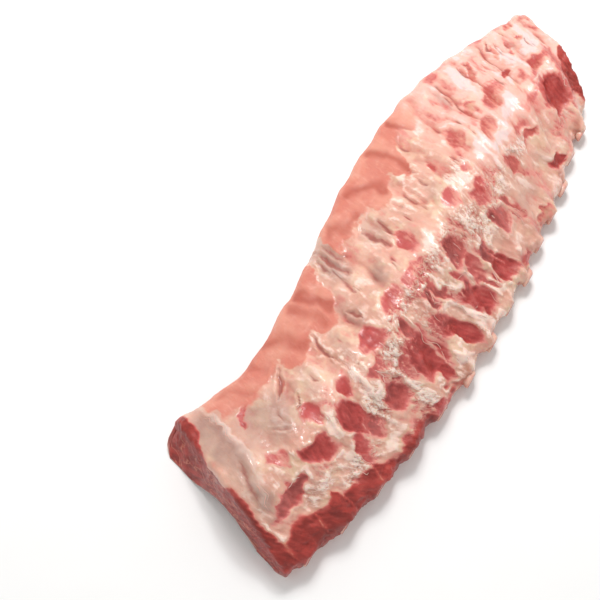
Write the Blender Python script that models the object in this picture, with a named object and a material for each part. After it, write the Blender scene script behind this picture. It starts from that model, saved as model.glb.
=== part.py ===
"""A raw rack of pork ribs: one slab of flesh, arched over the ribs, with fourteen rib bones in it.

Units are metres, +Z is up and the rack lies on Z = 0 with its outer, fat-covered side up. +X runs
along the rack to its narrow end and -Y is the chine edge, where the sawn ends of the bones stand out.
A point of the slab is given by s, its place along the middle line, and n, its place across: -1 at the
chine edge and +1 at the flap edge. Ribs run along lines of constant s, which slant across the rack.
"""

import math

import bmesh
import bpy
import numpy as np

# Driving dimensions
SLAB_START = -0.211
SLAB_END = 0.211
RIB_COUNT = 14
PLAN_MIDDLE = (0.0089, 0.0082, 0)

# How many ribs lie before a place: about 31 mm apart, then closer towards the narrow end
RIBS_BEFORE = ((-0.211, -0.66), (0.073, 8.50), (0.211, 13.85))

# Plan of the slab: (s, value) knots that a smooth curve passes through
CHINE_EDGE = (
    (-0.211, -0.027), (-0.151, -0.044), (-0.105, -0.052), (0.027, -0.060), (0.106, -0.054), (0.211, -0.037),
)
FLAP_EDGE = (
    (-0.211, 0.079), (-0.157, 0.061), (-0.102, 0.063), (0.018, 0.080), (0.076, 0.079), (0.211, 0.041),
)
RIB_SLANT = (
    (-0.211, 0.40), (-0.150, 0.45), (-0.100, 0.43), (0.000, 0.44), (0.100, 0.54), (0.211, 0.72),
)

# Cross-section
ARCH_RISE = ((-0.211, 0.013), (-0.120, 0.019), (0.060, 0.021), (0.211, 0.010))
EDGE_HEIGHT = 0.0085
COVER_ABOVE = ((-0.211, 0.0150), (-0.100, 0.0135), (0.090, 0.0125), (0.211, 0.0085))
FLESH_BELOW = 0.0119
ARCH_REACH = 0.88
APEX_SKEW = 0.12
EDGE_SQUARENESS = 8
END_COVER_SHARE = 0.72

# Relief
TOP_RIDGE = 0.0030
UNDER_RIDGE = 0.0018
RIDGE_SHARPNESS = 1.3
FLAP_RIDGE_LOSS = 0.7
CHINE_KNOB = 0.0042
KNOB_MEAN = 0.8
KNOB_SPREAD = 0.35
KNOB_TURN = 2.4
FLAT_END_KNOB_SHARE = 0.3
KNOBS_GROW = (-0.10, -0.02)
FLAP_SCALLOP = 0.0014
SWELL_HEIGHT = 0.0011
SWELL_ALONG = 31
SWELL_ACROSS = 47
RIPPLE_HEIGHT = 0.0006
RIPPLE_ALONG = 83
RIPPLE_ACROSS = 40
CUT_FACE_LEAN = 0.014
CUT_FACE_DEPTH = 0.026
CUT_FACE_LEAN_SHARES = (0.55, 0.45)
NEAR_ROUNDING = 0.004
FAR_ROUNDING = 0.014
CORNER_CUT = 0.004

# Bones
BONE_HALF_WIDTH = 0.0056
BONE_HALF_HEIGHT = 0.0038
BONE_STAND_OUT = 0.0012
BONE_SAWN_LENGTH = 0.006
BONE_STOP_SHORT = 0.016
BONE_KNOB = 1.14
BONE_DROP = 0.0012
BONE_CLEARANCE = 0.0004
BONE_REACH = 0.985

# Facets
SECTIONS = 84
SPANS_ACROSS = 18
BONE_STATIONS = 7
BONE_SIDES = 8


def curve_through(knots, s):
    """Smooth curve through (place, value) knots: a cubic on each span, whose slope at each knot is that
    between the knot's neighbours."""
    places, values = np.array(knots).T
    slopes = np.gradient(values, places)
    s = np.clip(s, places[0], places[-1])
    k = np.clip(np.searchsorted(places, s) - 1, 0, len(places) - 2)
    span = places[k + 1] - places[k]
    t = (s - places[k]) / span
    start = (1 + 2 * t) * (1 - t) ** 2 * values[k] + t * (1 - t) ** 2 * span * slopes[k]
    end = t * t * (3 - 2 * t) * values[k + 1] - t * t * (1 - t) * span * slopes[k + 1]
    return start + end


def rib_phase(s):
    """0 at the middle of the first rib, 1 at the middle of the next, and so on."""
    return curve_through(RIBS_BEFORE, s)


def rib_ridge(s):
    """1 along the middle of each rib, falling to 0 between two ribs."""
    return (0.5 + 0.5 * np.cos(2 * math.pi * rib_phase(s))) ** RIDGE_SHARPNESS


def smooth_step(low, high, x):
    """0 below low and 1 above high, with an even curve between."""
    t = np.clip((x - low) / (high - low), 0, 1)
    return t * t * (3 - 2 * t)


def end_fade(s):
    """1 over most of the slab, falling in a quarter circle towards 0 at both ends: short at the cut one."""
    past_near = (SLAB_START + NEAR_ROUNDING - s) / NEAR_ROUNDING
    past_far = (s - SLAB_END + FAR_ROUNDING) / FAR_ROUNDING
    return np.sqrt(1 - np.clip(np.maximum(past_near, past_far), 0, 1) ** 2)


def edges(s):
    """Y of the chine edge, with an uneven knob at each rib, and of the flap edge, gently scalloped."""
    uneven = KNOB_MEAN + KNOB_SPREAD * np.sin(KNOB_TURN * np.round(rib_phase(s)) + 1)
    growth = FLAT_END_KNOB_SHARE + (1 - FLAT_END_KNOB_SHARE) * smooth_step(*KNOBS_GROW, s)
    chine = curve_through(CHINE_EDGE, s) - CHINE_KNOB * uneven * rib_ridge(s) * growth
    flap = curve_through(FLAP_EDGE, s) + FLAP_SCALLOP * np.sin(math.pi * rib_phase(s)) ** 2
    corner = CORNER_CUT * (1 - end_fade(s))
    return chine + corner, flap - corner


def lie_of(s, n):
    """(y, middle height, share of full thickness) of the slab's middle surface. The section is an arch on
    two flat feet: its rise falls as a squared cosine to each foot, and its thickness as a square-cornered
    ellipse."""
    chine, flap = edges(s)
    y = (chine + flap) / 2 + n * (flap - chine) / 2
    across = np.clip((n + APEX_SKEW * (1 - n * n)) / ARCH_REACH, -1, 1)
    rise = curve_through(ARCH_RISE, s) * np.cos(across * math.pi / 2) ** 2
    return y, EDGE_HEIGHT + rise, np.sqrt(1 - np.abs(n) ** EDGE_SQUARENESS)


def swell(s, y):
    """Broad, low unevenness of the meat, as a product of two waves."""
    broad = SWELL_HEIGHT * np.sin(SWELL_ALONG * s + 0.6) * np.cos(SWELL_ACROSS * y + 12 * s)
    return broad + RIPPLE_HEIGHT * np.sin(RIPPLE_ALONG * s - RIPPLE_ACROSS * y)


def top_of(s, n):
    """Height of the outer side: the cover over the arch, ridged along the ribs and nearly smooth at the
    flap."""
    y, middle, share = lie_of(s, n)
    ridge = TOP_RIDGE * (rib_ridge(s) - 0.5) * (1 - FLAP_RIDGE_LOSS * smooth_step(0.1, 0.6, n))
    cover = curve_through(COVER_ABOVE, s) * (END_COVER_SHARE + (1 - END_COVER_SHARE) * end_fade(s))
    return middle + share * (cover + ridge + swell(s, y))


def under_of(s, n):
    """Height of the inner side, which is flat where it rests and ridged along the ribs in between."""
    _, middle, share = lie_of(s, n)
    ridge = UNDER_RIDGE * (rib_ridge(s) - 0.5) * smooth_step(0.0, 0.006, middle - EDGE_HEIGHT)
    return np.maximum(middle - share * (FLESH_BELOW + ridge), 0)


def placed(s, n, z):
    """The point of the slab at (s, n) and height z. The cut face at the wide end leans out to its foot."""
    y = lie_of(s, n)[0]
    depth = np.clip(1 - z / top_of(s, n), 0, 1)
    mean_share, flap_share = CUT_FACE_LEAN_SHARES
    near_end = smooth_step(SLAB_START + CUT_FACE_DEPTH, SLAB_START, s)
    lean = CUT_FACE_LEAN * depth * (mean_share + flap_share * n) * near_end
    return np.stack([s + curve_through(RIB_SLANT, s) * y - lean, y, z], axis=-1)


def section(s):
    """One closed section of the slab at s: its outer side from flap to chine, then its inner side back."""
    n = np.sin(np.linspace(1, -1, SPANS_ACROSS + 1) * math.pi / 2)
    inner = n[-2:0:-1]
    along = np.full_like(n, s)
    outer_points = placed(along, n, top_of(along, n))
    inner_points = placed(along[:len(inner)], inner, under_of(along[:len(inner)], inner))
    return np.concatenate([outer_points, inner_points])


def slab_object(collection):
    """The flesh as a loft through its sections, closed at each end by a ladder of faces."""
    mesh = bmesh.new()
    stations = np.linspace(SLAB_START, SLAB_END, SECTIONS + 1)
    rings = [[mesh.verts.new(point) for point in section(s)] for s in stations]
    count = 2 * SPANS_ACROSS
    for near, far in zip(rings, rings[1:]):
        for k in range(count):
            following = (k + 1) % count
            mesh.faces.new((near[k], far[k], far[following], near[following]))
    for ring in (rings[0], rings[-1]):
        for k in range(SPANS_ACROSS):
            corners = [ring[k], ring[k + 1], ring[-k - 1], ring[-k % count]]
            mesh.faces.new(dict.fromkeys(corners))
    bmesh.ops.recalc_face_normals(mesh, faces=mesh.faces)
    return object_of("flesh", mesh, collection)


def object_of(name, mesh, collection):
    """A new object in the collection from a bmesh, which is used up."""
    data = bpy.data.meshes.new(name)
    mesh.to_mesh(data)
    mesh.free()
    made = bpy.data.objects.new(name, data)
    collection.objects.link(made)
    return made


def rib_place(rib):
    """The s of a rib's middle line."""
    along = np.linspace(SLAB_START, SLAB_END, 1001)
    return float(np.interp(rib, rib_phase(along), along))


def bone_path(rib, overrun):
    """Points along the middle of a rib's bone, from well outside the chine edge to its end in the flap."""
    s = rib_place(rib)
    chine, flap = (float(edge) for edge in edges(s))
    ends = (chine - BONE_SAWN_LENGTH, flap - BONE_STOP_SHORT + overrun)
    points = []
    for y in np.linspace(*ends, BONE_STATIONS):
        n = np.clip((2 * y - chine - flap) / (flap - chine), -BONE_REACH, BONE_REACH)
        height = (top_of(s, n) + under_of(s, n)) / 2 - BONE_DROP
        points.append((s + float(curve_through(RIB_SLANT, s)) * y, y, float(height)))
    return points


def oval(name, half_width, half_height):
    """A closed oval curve, the bone's section, kept as a hidden guide."""
    curve = bpy.data.curves.new(name, "CURVE")
    spline = curve.splines.new("POLY")
    spline.points.add(BONE_SIDES - 1)
    for k, point in enumerate(spline.points):
        turn = 2 * math.pi * (k + 0.5) / BONE_SIDES
        point.co = (half_width * math.cos(turn), half_height * math.sin(turn), 0, 1)
    spline.use_cyclic_u = True
    guide = bpy.data.objects.new(name, curve)
    hide(guide)
    return guide


def bone_curve(name, rib, guide, overrun, collection):
    """A rib bone, an oval carried along its path, a little wider where it was sawn."""
    curve = bpy.data.curves.new(name, "CURVE")
    curve.dimensions = "3D"
    curve.twist_mode = "Z_UP"
    curve.bevel_mode = "OBJECT"
    curve.bevel_object = guide
    curve.use_fill_caps = True
    spline = curve.splines.new("POLY")
    path = bone_path(rib, overrun)
    spline.points.add(len(path) - 1)
    for k, (point, place) in enumerate(zip(spline.points, path)):
        point.co = (*place, 1)
        point.radius = BONE_KNOB if k == 0 else 1
    bone = bpy.data.objects.new(name, curve)
    collection.objects.link(bone)
    return bone


def sawn_at(rib):
    """The y of a bone's sawn end: flush with the meat near the wide end, and standing out in the rest."""
    s = rib_place(rib)
    return float(edges(s)[0] - BONE_STAND_OUT * smooth_step(*KNOBS_GROW, s))


def saw_off(mesh, y):
    """Cuts away all that lies beyond the plane at y, parallel to the chine edge, and closes the cut."""
    whole = mesh.verts[:] + mesh.edges[:] + mesh.faces[:]
    plane = {"plane_co": (0, y, 0), "plane_no": (0, -1, 0)}
    cut = bmesh.ops.bisect_plane(mesh, geom=whole, clear_outer=True, **plane)
    rim = [item for item in cut["geom_cut"] if isinstance(item, bmesh.types.BMEdge)]
    bmesh.ops.holes_fill(mesh, edges=rim)


def closed_mesh(curve_object, collection, sawn_y=None):
    """The curve object as a mesh with its caps welded on, sawn off where asked. The curve is removed."""
    bpy.context.view_layer.update()
    graph = bpy.context.evaluated_depsgraph_get()
    data = bpy.data.meshes.new_from_object(curve_object.evaluated_get(graph))
    mesh = bmesh.new()
    mesh.from_mesh(data)
    bmesh.ops.remove_doubles(mesh, verts=mesh.verts, dist=1e-5)
    if sawn_y is not None:
        saw_off(mesh, sawn_y)
    bmesh.ops.recalc_face_normals(mesh, faces=mesh.faces)
    name, place = curve_object.name, curve_object.matrix_world.copy()
    bpy.data.objects.remove(curve_object)
    made = object_of(name, mesh, collection)
    made.matrix_world = place
    return made


def hide(helper):
    """A guide or a cutter isn't part of the model."""
    helper.hide_render = True
    helper.display_type = "WIRE"


def material(name, colour, roughness):
    """A plain Principled BSDF of one colour."""
    made = bpy.data.materials.new(name)
    made.use_nodes = True
    shader = made.node_tree.nodes["Principled BSDF"]
    shader.inputs["Base Color"].default_value = (*colour, 1)
    shader.inputs["Roughness"].default_value = roughness
    shader.inputs["Metallic"].default_value = 0
    return made


def rest_on_origin(parts):
    """Hangs every part and cutter on one empty, which brings the middle of the plan to the origin."""
    middle = bpy.data.objects.new("rack_middle", None)
    bpy.data.collections["rack_of_ribs"].objects.link(middle)
    middle.location = [-offset for offset in PLAN_MIDDLE]
    for part in parts:
        part.parent = middle


def new_collection(name):
    """A new collection in the scene."""
    made = bpy.data.collections.new(name)
    bpy.context.scene.collection.children.link(made)
    return made


def main():
    """Builds the slab and its bones, and cuts a channel in the slab for each bone."""
    for old in list(bpy.data.objects):
        bpy.data.objects.remove(old)
    rack = new_collection("rack_of_ribs")
    cutters = new_collection("cutters")
    raw_meat = material("raw_meat", (0.72, 0.34, 0.27), 0.35)
    raw_bone = material("raw_bone", (0.80, 0.62, 0.52), 0.45)

    section_guide = oval("bone_section", BONE_HALF_WIDTH, BONE_HALF_HEIGHT)
    channel_sizes = (BONE_HALF_WIDTH + BONE_CLEARANCE, BONE_HALF_HEIGHT + BONE_CLEARANCE)
    channel_guide = oval("channel_section", *channel_sizes)
    cutters.objects.link(section_guide)
    cutters.objects.link(channel_guide)

    flesh = slab_object(rack)
    flesh.data.materials.append(raw_meat)
    for rib in range(RIB_COUNT):
        whole_bone = bone_curve(f"rib_bone_{rib + 1:02d}", rib, section_guide, 0, rack)
        bone = closed_mesh(whole_bone, rack, sawn_at(rib))
        bone.data.materials.append(raw_bone)
        channel = bone_curve(f"channel_{rib + 1:02d}", rib, channel_guide, BONE_CLEARANCE, cutters)
        hide(closed_mesh(channel, cutters))
    for rib in range(RIB_COUNT):
        cut = flesh.modifiers.new(f"channel_{rib + 1:02d}", "BOOLEAN")
        cut.operation = "DIFFERENCE"
        cut.solver = "EXACT"
        cut.object = bpy.data.objects[f"channel_{rib + 1:02d}"]
    rest_on_origin(rack.objects[:] + cutters.objects[:])


main()
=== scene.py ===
"""Raw rack of pork ribs: the looks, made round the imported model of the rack.

A place on the rack is given the way a butcher would: by rib number, 0 at the first rib and 13 at the last,
and by how far across it lies, -1 at the chine edge, where the sawn bone ends show, and +1 at the flap edge.
Lengths are in metres, and the rack lies on Z = 0 with its outer side up.
"""

import math
from collections import namedtuple

import bpy
import numpy as np
from mathutils import Matrix, Vector


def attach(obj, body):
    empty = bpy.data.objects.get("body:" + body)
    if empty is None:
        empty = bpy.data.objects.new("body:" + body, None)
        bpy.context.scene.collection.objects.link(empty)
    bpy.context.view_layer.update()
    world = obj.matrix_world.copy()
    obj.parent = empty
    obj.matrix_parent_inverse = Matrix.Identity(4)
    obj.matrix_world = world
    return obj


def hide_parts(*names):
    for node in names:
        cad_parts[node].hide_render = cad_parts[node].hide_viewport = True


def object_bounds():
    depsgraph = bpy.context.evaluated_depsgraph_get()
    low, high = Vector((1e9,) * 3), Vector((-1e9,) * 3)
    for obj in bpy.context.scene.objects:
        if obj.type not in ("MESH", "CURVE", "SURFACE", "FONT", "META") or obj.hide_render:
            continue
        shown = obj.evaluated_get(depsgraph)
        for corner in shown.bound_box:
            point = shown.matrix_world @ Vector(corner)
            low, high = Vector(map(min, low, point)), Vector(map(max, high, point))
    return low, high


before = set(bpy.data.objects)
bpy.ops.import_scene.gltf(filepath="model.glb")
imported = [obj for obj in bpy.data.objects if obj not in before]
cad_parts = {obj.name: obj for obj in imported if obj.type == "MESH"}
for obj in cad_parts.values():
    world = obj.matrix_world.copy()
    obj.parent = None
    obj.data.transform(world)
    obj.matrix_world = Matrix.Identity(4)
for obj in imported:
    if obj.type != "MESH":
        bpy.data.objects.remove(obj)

bl_info = {
    "name": "Rack of ribs",
    "version": (1, 0, 0),
    "blender": (4, 5, 0),
    "location": "View3D > Sidebar > Ribs",
    "description": "Dresses the packed rack of ribs: flesh, fat, sinew, sawn bones and a plain stage",
    "category": "Object",
}

CAD_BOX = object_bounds()

# ---------------------------------------------------------------- the rack's own sizes, as in its solids

SLAB_START = -0.211
SLAB_END = 0.211
RIB_COUNT = 14
PLAN_MIDDLE = np.array((0.0089, 0.0082, 0.0))
RIBS_BEFORE = ((-0.211, -0.66), (0.073, 8.50), (0.211, 13.85))
CHINE_EDGE = (
    (-0.211, -0.027), (-0.151, -0.044), (-0.105, -0.052), (0.027, -0.06), (0.106, -0.054), (0.211, -0.037),
)
FLAP_EDGE = (
    (-0.211, 0.079), (-0.157, 0.061), (-0.102, 0.063), (0.018, 0.08), (0.076, 0.079), (0.211, 0.041),
)
RIB_SLANT = ((-0.211, 0.40), (-0.150, 0.45), (-0.100, 0.43), (0.000, 0.44), (0.100, 0.54), (0.211, 0.72))
ARCH_RISE = ((-0.211, 0.013), (-0.120, 0.019), (0.060, 0.021), (0.211, 0.010))
EDGE_HEIGHT = 0.0085
COVER_ABOVE = ((-0.211, 0.0150), (-0.100, 0.0135), (0.090, 0.0125), (0.211, 0.0085))
FLESH_BELOW = 0.0119
ARCH_REACH = 0.88
APEX_SKEW = 0.12
EDGE_SQUARENESS = 8
TOP_RIDGE = 0.0030
UNDER_RIDGE = 0.0018
CHINE_KNOB = 0.0042
FLAP_SCALLOP = 0.0014
CUT_FACE_LEAN = 0.014
CUT_FACE_DEPTH = 0.026
NEAR_ROUNDING = 0.004
FAR_ROUNDING = 0.014
CORNER_CUT = 0.004
BONE_HALF_WIDTH = 0.0056
BONE_HALF_HEIGHT = 0.0038
BONE_STAND_OUT = 0.0012
BONE_DROP = 0.0012
BONE_STOP_SHORT = 0.016
BONE_AT = -0.985        # how far across the sawn faces lie
RIB_PITCH = 0.030       # with the half width, turns a rib number and a place across into metres
HALF_WIDTH = 0.065

# ---------------------------------------------------------------- mesh fineness

SECTIONS = 382
SPANS_OUTER = 160
SPANS_INNER = 80
CAP_RINGS = 9
CAP_REACH = 0.97        # how near the end rows come to the section's middle line
BONE_RINGS = 34
BONE_CAP_RINGS = 9
BONE_AROUND = 36
SINEW_STATIONS = 15
SINEW_SIDES = 6
BOX_MARGIN = 2e-5

# ---------------------------------------------------------------- what shows on the outer side

Window = namedtuple("Window", "rib across wide long lean deep tone")
# Where red meat shows through the fat, mostly between two ribs: half-widths in ribs and in shares across, how
# far it leans, its depth in mm, and its tone from mauve (-1) through red (0) to pink (1)
WINDOWS = [Window(*row) for row in (
    (0.48, -0.11, 0.15, 0.115, 1.3, 0.5, 0.5), (0.22, -0.49, 0.33, 0.115, -2.8, 1.3, -0.65),
    (0.42, -0.53, 0.12, 0.06, -0.5, 0.8, -0.1), (1.24, -0.35, 0.34, 0.115, 1.6, 1.5, 0.05),
    (1.56, -0.03, 0.24, 0.15, 0.5, 1.1, 0.7), (2.37, -0.15, 0.23, 0.1, 0.3, 1.5, 0.3),
    (2.18, -0.42, 0.24, 0.205, 0.9, 1.8, 0.05), (2.46, -0.6, 0.19, 0.11, 0.8, 1.4, -0.6),
    (2.02, -0.66, 0.11, 0.15, 0.2, 0.9, -0.05), (3.52, -0.12, 0.29, 0.115, 0.8, 1.5, 0.3),
    (3.22, -0.36, 0.25, 0.1, 0.8, 0.5, -0.45), (3.28, -0.6, 0.27, 0.135, 0.9, 1.9, -0.35),
    (4.35, -0.1, 0.33, 0.11, 0.4, 0.9, 0.45), (4.22, -0.34, 0.13, 0.09, 0.4, 1.6, -0.65),
    (4.34, -0.62, 0.41, 0.23, 1.1, 2.1, -0.15), (4.5, -0.85, 0.17, 0.09, 0.6, 1.3, 0.05),
    (3.99, -0.95, 0.17, 0.05, 0.5, 0.8, 0.1), (5.12, -0.11, 0.34, 0.07, 1.8, 0.5, 0.5),
    (5.6, 0.07, 0.19, 0.14, 0.3, 0.9, 0.65), (5.18, -0.4, 0.21, 0.12, 1.4, 1.4, -0.7),
    (5.48, -0.46, 0.16, 0.15, 1.6, 1.2, -0.6), (5.35, -0.74, 0.23, 0.2, 1.9, 2.2, -0.05),
    (5.06, -0.57, 0.13, 0.1, 1.9, 1.2, -0.3), (6.74, -0.72, 0.1, 0.12, 1.7, 0.8, -0.4),
    (6.05, -0.5, 0.1, 0.11, 1.6, 0.6, -0.2), (3.78, -0.54, 0.12, 0.11, 1, 0.5, -0.4),
    (9.65, -0.95, 0.3, 0.05, 1.5, 0.6, 0.6), (8.35, -0.97, 0.22, 0.04, 1.5, 0.8, 0.2),
    (6.33, -0.37, 0.3, 0.12, 0.5, 1.9, -0.65), (6.62, -0.6, 0.17, 0.12, 0.4, 0.6, -0.3),
    (6.25, -0.73, 0.24, 0.19, 1.75, 2.2, -0.05), (7.12, -0.61, 0.22, 0.1, 1, 1.5, -0.6),
    (7.36, -0.8, 0.32, 0.115, 1.6, 1.8, 0), (7.98, -0.28, 0.24, 0.09, 1.2, 0.7, 0.1),
    (8.06, -0.54, 0.26, 0.13, 1.7, 1.1, -0.6), (8.66, -0.62, 0.16, 0.12, 1.8, 0.7, -0.7),
    (7.14, -0.08, 0.3, 0.09, 0.6, 0.8, 0.75), (7.45, 0.25, 0.1, 0.06, 0.3, 0.9, 0.4),
    (8.05, -0.02, 0.18, 0.07, 0.6, 1, 0.8), (8.58, 0.24, 0.28, 0.14, -0.3, 0.8, 0.75),
    (9.46, -0.04, 0.3, 0.11, -1.4, 0.8, 0.65), (9.62, 0.27, 0.18, 0.08, 0, 0.6, 0.8),
    (10.36, 0.16, 0.44, 0.13, -0.9, 0.9, 0.75), (11.4, 0.28, 0.2, 0.05, -1, 1.2, 0.25),
    (9.45, -0.44, 0.16, 0.13, 2, 0.6, -0.65), (10.75, -0.4, 0.28, 0.05, 1.6, 0.5, -0.5),
    (11.3, -0.85, 0.26, 0.12, 3.4, 2, -0.05), (12.6, 0.08, 0.52, 0.12, -1.4, 1.2, 0.9),
    (12.48, -0.39, 0.52, 0.235, 0.6, 2, -0.05), (12.88, 0.9, 0.18, 0.13, -0.8, 1, 0.6),
    (13.65, 0.9, 0.22, 0.13, 0, 0.8, 0.8), (0.52, 0.5, 0.09, 0.11, -1, 1, -0.35),
    (10.6, 0.6, 0.13, 0.15, -0.8, 0.6, 0.45), (11.78, 0.62, 0.09, 0.12, -0.8, 0.6, 0.55),
    (12.8, 0.56, 0.09, 0.08, -0.6, 0.8, 0.6),
)]

Wash = namedtuple("Wash", "rib across wide long lean strength")
# Where the fat is thicker and whiter (strength above 0), or thin with meat showing faintly through (below 0).
# The white ones near the middle from rib 7.5 to 11.5 are painted highlights on the wet ridge.
FAT_AND_HIGHLIGHT_WASHES = [Wash(*row) for row in (
    (7.55, -0.05, 0.32, 0.14, 0, 0.35), (8.85, -0.08, 0.34, 0.13, 1.5, 0.32),
    (9.5, -0.17, 0.36, 0.06, 1, 0.38), (9.95, -0.06, 0.26, 0.06, 0, 0.35), (10.6, 0, 0.42, 0.13, -1, 0.35),
    (11.4, 0.13, 0.32, 0.1, 0, 0.32), (11.9, 0.42, 0.3, 0.26, 0.5, 0.35),
    (12.8, 0.38, 0.45, 0.15, 0.5, 0.4), (13, 0.66, 0.16, 0.2, 0, 0.4), (10.1, 0.6, 0.24, 0.24, 0.3, 0.38),
    (11, 0.9, 0.45, 0.12, 0, 0.15), (4.96, -0.82, 0.13, 0.18, 1.9, 0.6), (6, -0.82, 0.13, 0.15, 1.8, 0.6),
    (6.86, -0.84, 0.12, 0.12, 1.8, 0.4), (3.72, -0.76, 0.16, 0.18, 0.9, 0.35),
    (2.78, -0.78, 0.26, 0.09, 0, 0.35), (1.8, -0.65, 0.16, 0.09, 0, 0.3), (1.74, -0.26, 0.12, 0.2, 0, 0.2),
    (2.76, -0.36, 0.13, 0.2, 0, 0.2), (3.76, -0.4, 0.14, 0.16, 0.5, 0.15), (0.8, -0.4, 0.2, 0.05, 0, 0.2),
    (0.95, -0.6, 0.3, 0.06, 0, 0.2), (4.72, -0.24, 0.12, 0.12, 0, 0.3), (5.9, -0.12, 0.22, 0.1, 0, 0.2),
    (5.05, -0.56, 0.12, 0.16, 1.6, 0.3), (5.85, -0.42, 0.12, 0.14, 1.2, 0.3),
    (8.1, 0.62, 0.2, 0.09, -1, 0.3), (6.75, 0.46, 0.16, 0.1, -1, 0.3), (12.2, 0.82, 0.3, 0.14, 0, 0.1),
    (0.05, 0.2, 0.1, 0.34, 0, 0.25), (5.2, -0.21, 1, 0.09, 0, -0.35), (3.2, -0.3, 0.24, 0.09, 0, -0.25),
    (6.72, -0.3, 0.18, 0.12, 0, -0.2), (8.4, -0.3, 0.4, 0.1, 1, -0.3), (10.2, -0.28, 0.6, 0.06, 1, -0.3),
    (11.2, -0.2, 0.6, 0.07, 1, -0.3), (12, -0.1, 0.24, 0.14, 0, -0.35), (13.1, -0.28, 0.14, 0.34, 0, -0.3),
    (9.2, 0.64, 0.2, 0.2, 0, -0.2), (10.9, 0.5, 0.18, 0.3, -0.6, -0.2), (12.3, 0.6, 0.12, 0.22, -0.6, -0.3),
    (9.7, 0.92, 0.5, 0.09, 0, -0.2), (10.7, 0.28, 0.3, 0.1, 0, -0.2), (1.6, -0.86, 0.6, 0.06, 0, -0.3),
    (3.1, -0.9, 0.7, 0.08, 1.2, -0.3), (0.7, 0.9, 0.7, 0.16, 0, -0.1), (8, 0.45, 0.12, 0.2, 0, -0.15),
    (13.2, 0.12, 0.2, 0.18, 0, -0.3), (13.2, -0.45, 0.24, 0.45, 0, -0.35), (11.6, 0.08, 0.3, 0.1, 0, -0.2),
    (11.8, -0.35, 0.3, 0.2, 1, -0.2), (9.1, -0.88, 0.16, 0.1, 2, -0.25), (10.2, -0.9, 0.16, 0.09, 2, -0.3),
    (12.2, -0.9, 0.14, 0.09, 2, -0.25), (8.2, -0.92, 0.12, 0.08, 2, -0.3),
    (11.9, -0.62, 0.14, 0.14, 2, -0.15), (10, -0.6, 0.12, 0.1, 2, -0.2),
    (9.9, -0.76, 0.8, 0.11, 1.8, -0.22), (12.2, -0.74, 0.6, 0.12, 1.8, -0.2),
    (11.6, 0.98, 1.8, 0.08, 0, -0.18),
)]
# Greyish, see-through skin
GREY = [Wash(*row) for row in (
    (-0.2, 0.3, 0.34, 0.75, 0, 1), (0.8, 0.26, 0.74, 0.34, 0, 0.8), (4.12, 0.78, 0.34, 0.36, 0, 0.9),
    (4.62, 0.16, 0.22, 0.14, 0, 1), (1.35, 0.1, 0.2, 0.2, 0, 0.6), (-0.2, -0.22, 0.24, 0.32, 0, 0.9),
    (5.3, 0.46, 0.32, 0.22, 0, 0.7), (12.4, 0.55, 0.12, 0.12, 0, 0.6), (3.56, 0.22, 0.16, 0.26, 0, 0.6),
    (9.25, 0.6, 0.14, 0.2, 0, 0.6), (9.3, -0.7, 0.6, 0.1, 1.8, 0.5), (10.8, -0.68, 0.34, 0.12, 1.8, 0.5),
    (6.95, 0.1, 0.2, 0.12, 0, 0.4), (1.95, 0.2, 0.16, 0.24, 0, 0.4), (2.95, 0.14, 0.14, 0.24, 0, 0.4),
)]
# Crumpled fat, a lace of fine white ridges over darker gaps
CRUMPLED = [Wash(*row) for row in (
    (3.6, -0.4, 0.6, 0.17, 0.5, 1), (2.72, -0.52, 0.34, 0.16, 0.5, 0.8), (4.45, -0.2, 0.7, 0.11, 0, 0.9),
    (5.4, -0.23, 0.8, 0.11, 0, 1), (3.7, -0.8, 0.3, 0.2, 1, 0.7), (1.8, -0.74, 0.6, 0.1, 0, 0.7),
    (6.45, -0.3, 0.6, 0.14, 0, 0.8), (7.3, -0.4, 0.6, 0.2, 1, 0.8), (8.3, -0.34, 0.7, 0.18, 1, 0.6),
    (5.8, -0.56, 0.2, 0.2, 1.6, 0.6), (4.86, -0.52, 0.2, 0.2, 1.4, 0.6), (0.9, -0.56, 0.6, 0.1, 0, 0.4),
    (9.8, -0.36, 0.8, 0.1, 1, 0.5), (1.9, -0.1, 0.25, 0.25, 0, 0.3), (2.86, -0.12, 0.2, 0.25, 0, 0.4),
    (7.8, 0, 0.6, 0.16, 0, 0.4), (12.2, -0.7, 0.6, 0.1, 1.5, 0.3), (3, -0.94, 1.2, 0.06, 0, 0.5),
)]

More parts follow.
